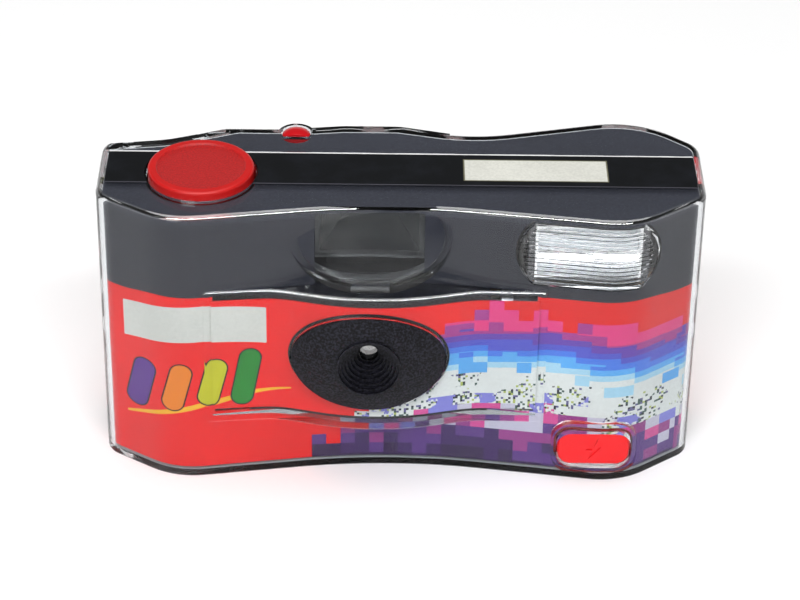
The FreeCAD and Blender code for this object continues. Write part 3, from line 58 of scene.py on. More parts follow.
def placeCamera(view):
    e, a, r = (math.radians(view[k]) for k in ("elevation", "yaw", "roll"))
    back = Vector((math.sin(a) * math.cos(e), -math.cos(a) * math.cos(e), math.sin(e)))
    right = Vector((math.cos(a), math.sin(a), 0))
    up = back.cross(right)
    tiltedRight = right * math.cos(r) + up * math.sin(r)
    tiltedUp = up * math.cos(r) - right * math.sin(r)
    lens = bpy.data.cameras.new("photoCamera")
    lens.lens = view["lens"]
    lens.sensor_width = view["sensor"]
    lens.clip_start = view["nearest"]
    camera = bpy.data.objects.new("photoCamera", lens)
    bpy.context.scene.collection.objects.link(camera)
    turn = Matrix((tiltedRight, tiltedUp, back)).transposed().to_4x4()
    place = Vector(view["target"]) + back * view["distance"]
    camera.matrix_world = Matrix.Translation(place) @ turn
    bpy.context.scene.camera = camera


placeCamera(cameraView)
bpy.context.scene.view_settings.view_transform = "Standard"
bpy.context.scene.cycles.glossy_bounces = 12  # light goes round inside the clear rims
print("camera placed")


# Colours are written as on a screen, 0 to 255, and the shaders take linear light
def toLinear(red, green, blue):
    parts = [c / 255 for c in (red, green, blue)]
    linear = [p / 12.92 if p <= 0.04045 else ((p + 0.055) / 1.055) ** 2.4 for p in parts]
    return (*linear, 1.0)


# Small helpers for building node trees
class Graph:
    perRow = 12
    spacing = (200, -220)

    def __init__(self, tree):
        self.tree = tree
        self.count = 0

    def node(self, kind, **settings):
        made = self.tree.nodes.new(kind)
        row, column = divmod(self.count, self.perRow)
        made.location = (self.spacing[0] * column, self.spacing[1] * row)
        self.count += 1
        for key, value in settings.items():
            setattr(made, key, value)
        return made

    def feed(self, socket, value):
        if isinstance(value, bpy.types.NodeSocket):
            self.tree.links.new(value, socket)
        else:
            socket.default_value = value

    def math(self, operation, a, b=0.0, c=0.0, clamp=False):
        made = self.node("ShaderNodeMath", operation=operation, use_clamp=clamp)
        for socket, value in zip(made.inputs, (a, b, c)):
            self.feed(socket, value)
        return made.outputs[0]

    def add(self, *values):
        total = values[0]
        for value in values[1:]:
            total = self.math("ADD", total, value)
        return total

    def times(self, a, b):
        return self.math("MULTIPLY", a, b)

    def minus(self, a, b):
        return self.math("SUBTRACT", a, b)

    def size(self, a):
        return self.math("ABSOLUTE", a)

    # A random value of 0 to 1, moved to lie about zero and made as wide as the spread
    def scatter(self, random, spread):
        return self.times(self.minus(random, 0.5), spread)

    # 1 where the value lies between the two limits
    def between(self, value, limits):
        low, high = limits
        over = self.math("GREATER_THAN", value, low)
        return self.times(over, self.math("LESS_THAN", value, high))

    def vector(self, operation, a, b=(0, 0, 0)):
        made = self.node("ShaderNodeVectorMath", operation=operation)
        self.feed(made.inputs[0], a)
        self.feed(made.inputs[1], b)
        return made.outputs

    def scaled(self, a, factor):
        made = self.node("ShaderNodeVectorMath", operation="SCALE")
        self.feed(made.inputs[0], a)
        self.feed(made.inputs["Scale"], factor)
        return made.outputs[0]

    def parts(self, vector):
        made = self.node("ShaderNodeSeparateXYZ")
        self.feed(made.inputs[0], vector)
        return made.outputs

    def joined(self, *values):
        made = self.node("ShaderNodeCombineXYZ")
        for socket, value in zip(made.inputs, values):
            self.feed(socket, value)
        return made.outputs[0]

    # How far a place is from an upright axis
    def radius(self, place, axis):
        offset = self.vector("SUBTRACT", place, (*axis, 0))[0]
        flat = self.vector("MULTIPLY", offset, (1, 1, 0))[0]
        return self.vector("LENGTH", flat)["Value"]

    def mix(self, share, a, b, blend="MIX"):
        made = self.node("ShaderNodeMix", data_type="RGBA", blend_type=blend)
        self.feed(made.inputs["Factor"], share)
        self.feed(made.inputs[6], a)
        self.feed(made.inputs[7], b)
        return made.outputs[2]

    def noise(self, place, scale, detail=3.0, roughness=0.55):
        made = self.node("ShaderNodeTexNoise")
        self.feed(made.inputs["Vector"], place)
        made.inputs["Scale"].default_value = scale
        made.inputs["Detail"].default_value = detail
        made.inputs["Roughness"].default_value = roughness
        return made.outputs["Fac"]

    def range(self, value, low, high, newLow=0.0, newHigh=1.0, smooth=False):
        interpolation = "SMOOTHSTEP" if smooth else "LINEAR"
        made = self.node("ShaderNodeMapRange", interpolation_type=interpolation)
        limits = {"From Min": low, "From Max": high, "To Min": newLow, "To Max": newHigh}
        for key, number in limits.items():
            self.feed(made.inputs[key], number)
        self.feed(made.inputs["Value"], value)
        return made.outputs[0]

    # 1 where a distance is under the limit, with a soft edge on both sides of it
    def under(self, distance, limit, softness):
        return self.range(distance, limit + softness, limit - softness)

    def ramp(self, value, stops):
        made = self.node("ShaderNodeValToRGB")
        made.color_ramp.interpolation = "CONSTANT"
        elements = made.color_ramp.elements
        while len(elements) < len(stops):
            elements.new(0.5)
        for element, (place, colour) in zip(elements, stops):
            element.position = place
            element.color = toLinear(*colour)
        self.feed(made.inputs[0], value)
        return made.outputs[0]

    def group(self, tree, values):
        made = self.node("ShaderNodeGroup", node_tree=tree)
        for key, value in values.items():
            self.feed(made.inputs[key], value)
        return made.outputs


def newGroup(name, ins, outs):
    tree = bpy.data.node_groups.new(name, "ShaderNodeTree")
    kinds = {"float": "NodeSocketFloat", "vector": "NodeSocketVector", "colour": "NodeSocketColor"}
    for label, kind, default in ins:
        socket = tree.interface.new_socket(name=label, in_out="INPUT", socket_type=kinds[kind])
        socket.default_value = default
    for label, kind in outs:
        tree.interface.new_socket(name=label, in_out="OUTPUT", socket_type=kinds[kind])
    g = Graph(tree)
    return tree, g, g.node("NodeGroupInput").outputs, g.node("NodeGroupOutput").inputs


# The shared groups take places and lengths in millimetres, and noise scales per millimetre
placeSocket = ("Place", "vector", (0, 0, 0))
printSockets = [("Across", "float", 0.0), ("Up", "float", 0.0)]


# 1 inside the outline that a distance is measured from, with a soft edge
def insideMask(g, i, o, distance):
    outer = g.times(i["Softness"], -1.0)
    g.feed(o["Mask"], g.range(distance, i["Softness"], outer, smooth=True))


# A mask that is 1 inside an upright rounded panel
def makePanelMask():
    tree, g, i, o = newGroup("panelMask", printSockets + [
        ("Middle Across", "float", 0.0), ("Middle Up", "float", 0.0),
        ("Half Width", "float", 1.0), ("Half Height", "float", 1.0),
        ("Corner", "float", 0.3), ("Softness", "float", 0.05)], [("Mask", "float")])
    overs = []
    for place, middle, half in (("Across", "Middle Across", "Half Width"),
                                ("Up", "Middle Up", "Half Height")):
        offset = g.size(g.minus(i[place], i[middle]))
        overs.append(g.add(g.minus(offset, i[half]), i["Corner"]))
    outside = [g.math("POWER", g.math("MAXIMUM", over, 0.0), 2.0) for over in overs]
    inside = g.math("MINIMUM", g.math("MAXIMUM", *overs), 0.0)
    insideMask(g, i, o, g.minus(g.add(g.math("SQRT", g.add(*outside)), inside), i["Corner"]))
    return tree


# A mask for a straight brush stroke with round ends, as wide at each end as that end says
def makeStrokeMask():
    tree, g, i, o = newGroup("strokeMask", printSockets + [
        ("Start", "vector", (0, 0, 0)), ("End", "vector", (1, 0, 0)),
        ("Half Width", "float", 1.0), ("End Half Width", "float", 1.0),
        ("Softness", "float", 0.06)], [("Mask", "float")])
    fromStart = g.vector("SUBTRACT", g.joined(i["Across"], i["Up"]), i["Start"])[0]
    run = g.vector("SUBTRACT", i["End"], i["Start"])[0]
    reach = g.vector("DOT_PRODUCT", fromStart, run)["Value"]
    squared = g.vector("DOT_PRODUCT", run, run)["Value"]
    along = g.math("DIVIDE", reach, squared, clamp=True)
    gap = g.vector("SUBTRACT", fromStart, g.scaled(run, along))[0]
    half = g.range(along, 0.0, 1.0, i["Half Width"], i["End Half Width"])
    insideMask(g, i, o, g.minus(g.vector("LENGTH", gap)["Value"], half))
    return tree


# Fine grain of moulded plastic, as a height, with a slow variation beside it
def makeMouldGrain():
    tree, g, i, o = newGroup("mouldGrain", [
        placeSocket, ("Grain Scale", "float", 1.0), ("Patch Scale", "float", 1.0)],
        [("Height", "float"), ("Patches", "float")])
    g.feed(o["Height"], g.noise(g.scaled(i["Place"], i["Grain Scale"]), 1.0, detail=2.0))
    g.feed(o["Patches"], g.noise(g.scaled(i["Place"], i["Patch Scale"]), 1.0, detail=4.0))
    return tree


handlingLook = {
    "stretch": (0.4, 1.0, 2.6),
    "lineScale": 0.9,
    "lineRange": (0.62, 0.72),
    "speckScale": 3.4,
    "speckRange": (0.72, 0.78),
}


# Sparse hair scratches and specks that a handled surface has
def makeHandling(look):
    tree, g, i, o = newGroup("handling", [placeSocket, ("Amount", "float", 0.3)],
                             [("Marks", "float")])
    stretched = g.vector("MULTIPLY", i["Place"], look["stretch"])[0]
    scratches = g.noise(stretched, look["lineScale"], detail=8.0, roughness=0.7)
    dust = g.noise(i["Place"], look["speckScale"], detail=2.0)
    marks = g.add(g.range(scratches, *look["lineRange"]), g.range(dust, *look["speckRange"]))
    g.feed(o["Marks"], g.math("MULTIPLY", marks, i["Amount"], clamp=True))
    return tree


# Square printed blocks: the middle of the block that a point lies in, and two random values
def makeBlocks():
    tree, g, i, o = newGroup("printBlocks", printSockets + [
        ("Wide", "float", 3.0), ("High", "float", 2.4), ("Seed", "float", 0.0)],
        [("Block Across", "float"), ("Block Up", "float"), ("Random", "float"),
         ("Other Random", "float")])
    column = g.math("FLOOR", g.math("DIVIDE", i["Across"], i["Wide"]))
    row = g.math("FLOOR", g.math("DIVIDE", i["Up"], i["High"]))
    dice = g.node("ShaderNodeTexWhiteNoise", noise_dimensions="3D")
    g.feed(dice.inputs["Vector"], g.joined(column, row, i["Seed"]))
    colours = g.node("ShaderNodeSeparateColor")
    g.feed(colours.inputs[0], dice.outputs["Color"])
    g.feed(o["Block Across"], g.times(g.add(column, 0.5), i["Wide"]))
    g.feed(o["Block Up"], g.times(g.add(row, 0.5), i["High"]))
    g.feed(o["Random"], colours.outputs[0])
    g.feed(o["Other Random"], colours.outputs[1])
    return tree


inkLook = {
    "dotScale": 2.2,
    "patchScale": 0.06,
    "noiseRange": (0.35, 0.65),
    "patchShades": (0.94, 1.06),
    "fibreScale": 1.6,
}


# Ink on card: fine dots in the colour, and the card's own fibre as a height
def makeInkOnCard(look):
    tree, g, i, o = newGroup("inkOnCard", [
        placeSocket, ("Colour", "colour", (0.5, 0.5, 0.5, 1)), ("Dots", "float", 0.1)],
        [("Colour", "colour"), ("Height", "float")])
    dots = g.noise(i["Place"], look["dotScale"], detail=2.0)
    shades = (g.minus(1.0, i["Dots"]), g.add(1.0, i["Dots"]))
    shade = g.range(dots, *look["noiseRange"], *shades)
    patches = g.range(g.noise(i["Place"], look["patchScale"]), *look["noiseRange"],
                      *look["patchShades"])
    g.feed(o["Colour"], g.mix(1.0, i["Colour"], g.times(shade, patches), blend="MULTIPLY"))
    g.feed(o["Height"], g.noise(i["Place"], look["fibreScale"], detail=2.0))
    return tree


panelMask = makePanelMask()
strokeMask = makeStrokeMask()
mouldGrain = makeMouldGrain()
handling = makeHandling(handlingLook)
printBlocks = makeBlocks()
inkOnCard = makeInkOnCard(inkLook)
print("shared node groups made")


# A material with its Principled shader, and the object's own place in millimetres
def newMaterial(name):
    material = bpy.data.materials.new(name)
    material.use_nodes = True
    material.node_tree.nodes.clear()
    g = Graph(material.node_tree)
    g.output = g.node("ShaderNodeOutputMaterial")
    g.shader = g.node("ShaderNodeBsdfPrincipled")
    g.feed(g.output.inputs["Surface"], g.shader.outputs[0])
    coordinates = g.node("ShaderNodeTexCoord")
    g.place = g.vector("MULTIPLY", coordinates.outputs["Object"], (1000, 1000, 1000))[0]
    g.x, g.y, g.z = g.parts(g.place)
    g.material = material
    return g


def setShader(g, **values):
    labels = {"colour": "Base Color", "rough": "Roughness", "metal": "Metallic", "ior": "IOR",
              "through": "Transmission Weight", "coat": "Coat Weight", "coatIor": "Coat IOR",
              "specular": "Specular IOR Level"}
    for key, value in values.items():
        g.feed(g.shader.inputs[labels[key]], value)


# The distance that the heights stand for is in metres
def bump(g, height, strength, distance=0.00005):
    made = g.node("ShaderNodeBump")
    made.inputs["Strength"].default_value = strength
    made.inputs["Distance"].default_value = distance
    g.feed(made.inputs["Height"], height)
    g.feed(g.shader.inputs["Normal"], made.outputs[0])


def handlingMarks(g, amount):
    return g.group(handling, {"Place": g.place, "Amount": amount})["Marks"]


def dress(material, *names):
    for name in names:
        slots = nodes[name].data.materials
        slots.clear()
        slots.append(material)


# Clear plastic. Shadow and bounce rays pass straight through, so the prints behind stay lit
def clearPlastic(name, look):
    g = newMaterial(name)
    marks = handlingMarks(g, look["marks"])
    rough = g.range(marks, 0.0, 1.0, look["rough"], look["rough"] + look["markRough"])
    setShader(g, colour=look["colour"], through=look["through"], ior=look["ior"], rough=rough,
              coat=look["coat"], coatIor=look["coatIor"])
    if look["ripple"]:
        waves = g.noise(g.place, look["rippleScale"], detail=1.0)
        bump(g, waves, look["ripple"], look["rippleDepth"])
    if look["glossyRims"]:
        # rounded rims catch the light: where the surface leans between upright and level
        normal = g.node("ShaderNodeNewGeometry").outputs["Normal"]
        lean = g.size(g.parts(normal)[2])
        rims = g.times(g.range(lean, *look["rimStart"]), g.range(lean, *look["rimEnd"]))
        setShader(g, coat=rims)
    path = g.node("ShaderNodeLightPath").outputs
    straight = g.node("ShaderNodeBsdfTransparent")
    straight.inputs[0].default_value = look["shadowColour"]
    both = g.node("ShaderNodeMixShader")
    passing = g.math("MAXIMUM", path["Is Shadow Ray"], path["Is Diffuse Ray"])
    for socket, value in zip(both.inputs, (passing, g.shader.outputs[0], straight.outputs[0])):
        g.feed(socket, value)
    g.feed(g.output.inputs["Surface"], both.outputs[0])
    return g.material


# The clear case and the lenses
caseLook = {
    "colour": toLinear(226, 229, 231),
    "shadowColour": toLinear(246, 247, 248),
    "through": 1.0,
    "ior": 1.33,
    "rough": 0.015,
    "marks": 0.25,
    "markRough": 0.12,
    "ripple": 0.25,
    "rippleScale": 0.09,
    "rippleDepth": 0.0004,
    "coat": 0.0,
    "coatIor": 2.1,
    "glossyRims": True,
    "rimStart": (0.3, 0.42),
    "rimEnd": (0.999, 0.99),
}
lensLook = dict(caseLook, colour=toLinear(246, 247, 248), ior=1.45, rough=0.0, marks=0.05,
                ripple=0.0, glossyRims=False)
takingLensLook = dict(lensLook, coat=1.0, coatIor=2.4)
flashLook = dict(lensLook, colour=toLinear(250, 251, 252), rough=0.03, marks=0.1,
                 ripple=0.05, rippleScale=0.5)
lampLook = dict(lensLook, colour=toLinear(205, 18, 28), shadowColour=toLinear(200, 60, 60),
                through=0.3, rough=0.12, marks=0.1)
dress(clearPlastic("clearCase", caseLook), "front_cover", "rear_cover")
dress(clearPlastic("polishedLens", lensLook), "viewfinder_lens", "eyepiece_lens")
dress(clearPlastic("coatedLens", takingLensLook), "taking_lens")
dress(clearPlastic("flashWindow", flashLook), "flash_lens")
dress(clearPlastic("redLamp", lampLook), "ready_lamp_lens")
print("clear pieces dressed")

# The printed cards. Lengths in millimetres on the card
cardPrint = {
    "red": toLinear(248, 14, 12),
    "redDeep": toLinear(238, 12, 12),
    "redPatchScale": 0.05,
    "charcoal": toLinear(42, 43, 52),
    # the charcoal on the top flap is painted lighter, as painted light from above; it is the same
    # ink as on the front
    "charcoalPaintedLitTop": toLinear(57, 58, 67),
    "topHeight": 54.9,
    "topFade": 0.3,
    "splitHeight": 39.35,
    "splitFade": 0.05,
    "cornerDrop": 0.9,
    "cornerRun": (44.0, 51.0),
    "sideRun": (50.0, 53.5),
    "sideDepth": 14.0,
    "dotsInColour": 0.04,
    "dotsInCharcoal": 0.13,
    "roughFrom": (0.3, 0.7),
    "rough": (0.45, 0.6),
    "specular": 0.15,
    "fibre": 0.03,
}

# What the front card has besides: a bare white panel, four bars and a ribbon
frontPrint = {
    "panelMiddle": (-37.25, 33.65),
    "panelHalf": (13.0, 3.85),
    "panelCorner": 0.1,
    "panelColour": toLinear(214, 214, 206),
    "bendMiddle": -34.0,
    "bend": 0.0064,
    "bars": [
        ((-48.2, 15.3), (-46.6, 22.3), toLinear(92, 44, 140)),
        ((-41.6, 16.3), (-40.0, 22.7), toLinear(236, 130, 18)),
        ((-35.1, 17.7), (-33.5, 24.0), toLinear(196, 196, 22)),
        ((-28.9, 17.8), (-27.3, 26.0), toLinear(24, 134, 40)),
    ],
    "barHalf": 1.9,
    "outline": toLinear(20, 16, 26),
    "outlineWidth": 0.28,
    "ribbon": [
        (-50.0, 11.2, 0.25), (-42.3, 13.9, 0.5), (-34.0, 16.4, 0.55), (-27.4, 18.4, 0.45),
        (-19.9, 19.5, 0.15),
    ],
    "ribbonColour": toLinear(246, 184, 30),
}

# The stepped blocks. Steps run from 0 at the charcoal's edge to 1 at the foot of the card
blockPrint = {
    "size": (2.7, 2.3),
    "seed": 3.0,
    "wavePitch": 0.085,
    "waveHeight": 1.5,
    "slopeMiddle": 26.0,
    "slope": -0.05,
    "edge": (-18.5, 0.76),
    "edgeScatter": 6.0,
    "edgeReach": 3.5,
    "bandHeight": 1.25,
    "bandRise": 0.02,
    "bandScatter": 0.016,
    "bandZone": (0.19, 0.44),
    "zoneScatter": 0.05,
    "scatterFrom": (0.62, 0.7),
    "scatter": (0.12, 0.22),
    "colours": [
        (0.00, (234, 22, 18)), (0.12, (232, 60, 130)), (0.19, (168, 56, 140)),
        (0.245, (104, 66, 170)), (0.285, (84, 88, 200)), (0.325, (74, 124, 228)),
        (0.365, (92, 174, 240)), (0.40, (170, 216, 238)), (0.44, (226, 230, 226)),
        (0.60, (132, 132, 214)), (0.655, (216, 78, 150)), (0.70, (200, 196, 214)),
        (0.74, (150, 60, 134)), (0.80, (92, 54, 130)), (0.90, (64, 36, 96)),
        (0.96, (50, 28, 74)),
    ],
}

# Fine mosaic in the blocks' white part
mosaicPrint = {
    "size": 0.45,
    "seed": 7.0,
    "zone": (0.475, 0.66),
    "patchScale": 0.17,
    "patchRange": (0.47, 0.53),
    "colours": [
        (0.0, (226, 230, 226)), (0.70, (64, 92, 84)), (0.80, (176, 190, 96)),
        (0.87, (96, 92, 140)), (0.93, (36, 40, 52)),
    ],
}


def blocks(g, across, size, seed):
    wide, high = size
    return g.group(printBlocks, {"Across": across, "Up": g.z, "Wide": wide, "High": high,
                                 "Seed": seed})


# Stepped blocks that shade from red through blue and white to violet
def printBlocksOn(g, base, across, look, mosaic, top):
    column, row, dice, otherDice = blocks(g, across, look["size"], look["seed"])

    def stepAt(place, height):
        wave = g.times(g.math("SINE", g.times(place, look["wavePitch"])), look["waveHeight"])
        rise = g.add(wave, g.times(g.minus(place, look["slopeMiddle"]), look["slope"]))
        return g.range(g.minus(height, rise), top, 0.0)

    blockStep = stepAt(column, row)
    band = look["bandHeight"]
    risen = g.minus(g.z, g.times(column, look["bandRise"]))
    bandRow = g.times(g.math("FLOOR", g.math("DIVIDE", risen, band)), band)
    bandStep = stepAt(column, g.add(bandRow, band / 2))
    bandStep = g.add(bandStep, g.scatter(dice, look["bandScatter"]))
    spread = g.range(blockStep, *look["scatterFrom"], *look["scatter"])
    scattered = g.add(blockStep, g.scatter(dice, spread))
    loose = g.add(blockStep, g.scatter(otherDice, look["zoneScatter"]))
    colour = g.mix(g.between(loose, look["bandZone"]), g.ramp(scattered, look["colours"]),
                   g.ramp(bandStep, look["colours"]))

    cells = blocks(g, across, (mosaic["size"], mosaic["size"]), mosaic["seed"])
    patches = g.range(g.noise(g.place, mosaic["patchScale"]), *mosaic["patchRange"])
    share = g.times(patches, g.between(blockStep, mosaic["zone"]))
    speckled = g.math("GREATER_THAN", share, cells["Other Random"])
    colour = g.mix(speckled, colour, g.ramp(cells["Random"], mosaic["colours"]))

    edgeStart, edgeSlope = look["edge"]
    reach = g.minus(column, g.math("MULTIPLY_ADD", row, edgeSlope, edgeStart))
    ragged = g.math("MULTIPLY_ADD", otherDice, look["edgeScatter"], reach)
    return g.mix(g.math("GREATER_THAN", ragged, look["edgeReach"]), base, colour)


def stroke(g, colour, start, end, half, endHalf, paint):
    mark = g.group(strokeMask, {
        "Across": g.x, "Up": g.z, "Start": (*start, 0), "End": (*end, 0),
        "Half Width": half, "End Half Width": endHalf})
    return g.mix(mark["Mask"], colour, paint)


# A white panel that both prints have, left bare
def barePanel(g, colour, across, up, look, paint, extra=0.0):
    middle, half = look["panelMiddle"], look["panelHalf"]
    panel = g.group(panelMask, {
        "Across": across, "Up": up, "Middle Across": middle[0], "Middle Up": middle[1],
        "Half Width": half[0] + extra, "Half Height": half[1] + extra,
        "Corner": look["panelCorner"]})
    return g.mix(panel["Mask"], colour, paint)


def panelBarsAndRibbon(g, colour, look):
    offset = g.minus(g.x, look["bendMiddle"])
    level = g.add(g.z, g.times(g.times(offset, offset), look["bend"]))
    colour = barePanel(g, colour, g.x, level, look, look["panelColour"])
    points = look["ribbon"]
    for start, end in zip(points, points[1:]):
        colour = stroke(g, colour, start[:2], end[:2], start[2], end[2], look["ribbonColour"])
    for start, end, paint in look["bars"]:
        for extra, ink in ((look["outlineWidth"], look["outline"]), (0.0, paint)):
            half = look["barHalf"] + extra
            colour = stroke(g, colour, start, end, half, half, ink)
    return colour


def printedCard(name, look, onFront):
    g = newMaterial(name)
    colour = g.mix(g.noise(g.place, look["redPatchScale"], detail=2.0), look["red"],
                   look["redDeep"])
    if onFront:
        # the sheet's own run, which goes on along the side walls
        turned = g.range(g.size(g.x), *look["sideRun"], smooth=True)
        around = g.times(g.math("SIGN", g.x), g.add(g.y, look["sideDepth"]))
        across = g.add(g.x, g.times(around, turned))
        colour = printBlocksOn(g, colour, across, blockPrint, mosaicPrint, look["splitHeight"])
        colour = panelBarsAndRibbon(g, colour, frontPrint)
    corner = g.range(g.size(g.x), *look["cornerRun"], smooth=True)
    split = g.math("MULTIPLY_ADD", corner, -look["cornerDrop"], look["splitHeight"])
    above = g.range(g.minus(g.z, split), -look["splitFade"], look["splitFade"])
    # painted light: the charcoal is painted lighter on the top flap than on the front
    paintedLitTop = g.range(g.z, look["topHeight"] - look["topFade"], look["topHeight"])
    charcoal = g.mix(paintedLitTop, look["charcoal"], look["charcoalPaintedLitTop"])
    dots = g.range(above, 0.0, 1.0, look["dotsInColour"], look["dotsInCharcoal"])
    ink = g.group(inkOnCard, {"Place": g.place, "Colour": g.mix(above, colour, charcoal),
                              "Dots": dots})
    setShader(g, colour=ink["Colour"], specular=look["specular"],
              rough=g.range(ink["Height"], *look["roughFrom"], *look["rough"]))
    bump(g, ink["Height"], look["fibre"])
    return g.material


dress(printedCard("frontPrint", cardPrint, True), "front_card")
dress(printedCard("rearPrint", cardPrint, False), "rear_card")

# The black seal along the top, with one bare white panel and two thin painted highlight lines
# along its seam edges
sealPrint = {
    "black": toLinear(7, 9, 12),
    "blackWorn": toLinear(17, 19, 24),
    "wearScale": 0.16,
    "wearRange": (0.45, 0.7),
    "panelMiddle": (24.4, -1.1),
    "panelHalf": (12.9, 3.55),
    "panelCorner": 0.1,
    "panelColour": toLinear(196, 196, 188),
    "panelEdge": toLinear(104, 102, 84),
    "edgeWidth": 0.25,
    # a pale line and a grey line along the seal's rear and front edges: painted highlights of the
    # case's seams
    "lines": [(4.42, 0.16, toLinear(214, 214, 214)), (-6.48, 0.1, toLinear(72, 72, 80))],
    "seamHighlightFade": 0.04,
    "dots": 0.06,
    "rough": 0.5,
    "specular": 0.1,
    "fibre": 0.06,
}


def printedSeal(look):
    g = newMaterial("sealPrint")
    wear = g.noise(g.place, look["wearScale"], detail=5.0, roughness=0.7)
    colour = g.mix(g.range(wear, *look["wearRange"]), look["black"], look["blackWorn"])
    for extra, paint in ((look["edgeWidth"], look["panelEdge"]), (0.0, look["panelColour"])):
        colour = barePanel(g, colour, g.x, g.y, look, paint, extra)
    # painted highlight lines along the seam edges
    for middle, half, paint in look["lines"]:
        line = g.under(g.size(g.minus(g.y, middle)), half, look["seamHighlightFade"])
        colour = g.mix(line, colour, paint)
    ink = g.group(inkOnCard, {"Place": g.place, "Colour": colour, "Dots": look["dots"]})
    setShader(g, colour=ink["Colour"], rough=look["rough"], specular=look["specular"])
    bump(g, ink["Height"], look["fibre"])
    return g.material


dress(printedSeal(sealPrint), "seal_label")
print("printed pieces dressed")


# Moulded plastic, matt or glossy, with grain and marks of handling
def mouldedPlastic(name, look):
    g = newMaterial(name)
    grain = g.group(mouldGrain, {"Place": g.place, "Grain Scale": look["grainScale"],
                                 "Patch Scale": look["patchScale"]})
    marks = handlingMarks(g, look["marks"])
    peaks = g.range(grain["Height"], *look["grainRange"])
    colour = g.mix(marks, g.mix(peaks, look["colour"], look["peakColour"]), look["markColour"])
    rough = g.range(g.add(grain["Patches"], marks), *look["roughFrom"],
                    look["rough"], look["rough"] + look["roughSpread"])
    setShader(g, colour=colour, specular=look["specular"], rough=rough)
    bump(g, grain["Height"], look["grainDepth"], look["grainHeight"])
    return g.material


# The spark-textured dome round the taking lens, and the smoother mouldings
domeLook = {
    "colour": toLinear(5, 5, 8),
    "peakColour": toLinear(34, 34, 43),
    "markColour": toLinear(70, 70, 78),
    "grainRange": (0.42, 0.66),
    "grainScale": 2.5,
    "grainDepth": 1.0,
    "grainHeight": 0.00009,
    "patchScale": 0.12,
    "marks": 0.05,
    "rough": 0.42,
    "roughFrom": (0.3, 1.2),
    "roughSpread": 0.15,
    "specular": 0.16,
}
blackLook = dict(domeLook, colour=toLinear(13, 13, 15), peakColour=toLinear(21, 21, 24),
                 grainScale=6.0, grainDepth=0.25, grainHeight=0.00005, specular=0.3, marks=0.2)
greyLook = dict(blackLook, colour=toLinear(70, 70, 73), peakColour=toLinear(80, 80, 82),
                markColour=toLinear(112, 112, 114))
whiteLook = dict(blackLook, colour=toLinear(206, 205, 199), peakColour=toLinear(216, 215, 209),
                 markColour=toLinear(170, 168, 160))
dress(mouldedPlastic("texturedBlack", domeLook), "lens_panel")
dress(mouldedPlastic("smoothBlack", blackLook), "inner_back", "viewfinder_tube", "chassis",
      "film_door", "supply_spool", "thumbwheel", "film_cartridge")
dress(mouldedPlastic("greyPlastic", greyLook), "metering_shaft", "counter_disc",
      "flash_housing")
dress(mouldedPlastic("whitePlastic", whiteLook), "ratchet_pawl", "striker_lever",
      "release_latch", "cartridge_spool")
print("mouldings dressed")

# Red shutter button: smooth rim, textured dish
buttonLook = {
    "rim": toLinear(184, 16, 15),
    "rimFrom": (0.3, 0.7),
    "rimShade": 0.18,
    "rimGrain": 0.1,
    "dish": toLinear(142, 12, 14),
    "dishPeak": toLinear(182, 21, 20),
    "dishFrom": (0.35, 0.7),
    "dishGrain": 1.0,
    "dishRougher": 0.16,
    "dishMiddle": (-36.3, -2.7),
    "dishRadius": 8.1,
    "dishEdge": 0.1,
    "grainScale": 3.2,
    "patchScale": 0.2,
    "grainDepth": 0.6,
    "grainHeight": 0.00008,
    "rough": 0.34,
    "specular": 0.35,
}


def redButton(name, look):
    g = newMaterial(name)
    grain = g.group(mouldGrain, {"Place": g.place, "Grain Scale": look["grainScale"],
                                 "Patch Scale": look["patchScale"]})
    shade = g.range(grain["Patches"], *look["rimFrom"], 0.0, look["rimShade"])
    rim = g.mix(shade, look["rim"], look["dish"])
    setShader(g, colour=rim, specular=look["specular"], rough=look["rough"])
    share = look["rimGrain"]
    if look["dishRadius"]:
        radius = g.radius(g.place, look["dishMiddle"])
        inDish = g.under(radius, look["dishRadius"], look["dishEdge"])
        peaks = g.range(grain["Height"], *look["dishFrom"])
        dish = g.mix(peaks, look["dish"], look["dishPeak"])
        rough = g.range(inDish, 0.0, 1.0, look["rough"], look["rough"] + look["dishRougher"])
        setShader(g, colour=g.mix(inDish, rim, dish), rough=rough)
        share = g.range(inDish, 0.0, 1.0, look["rimGrain"], look["dishGrain"])
    bump(g, g.times(grain["Height"], share), look["grainDepth"], look["grainHeight"])
    return g.material


flashButtonLook = dict(buttonLook, rim=toLinear(226, 20, 26), dish=toLinear(170, 10, 18),
                       dishRadius=None, rough=0.28)
dress(redButton("redButton", buttonLook), "shutter_button")
dress(redButton("redFlashButton", flashButtonLook), "flash_button")
print("red pieces dressed")


# Metals, bright, drawn or blackened
def metal(name, look):
    g = newMaterial(name)
    streaks = g.noise(g.vector("MULTIPLY", g.place, look["drawn"])[0], 1.0, detail=4.0)
    colour = g.mix(handlingMarks(g, look["marks"]), look["colour"], look["dull"])
    least, most = (look["rough"] * share for share in look["roughShares"])
    setShader(g, colour=colour, metal=look["metal"],
              rough=g.range(streaks, *look["streakRange"], least, most))
    bump(g, streaks, look["streakDepth"], look["streakHeight"])
    return g.material


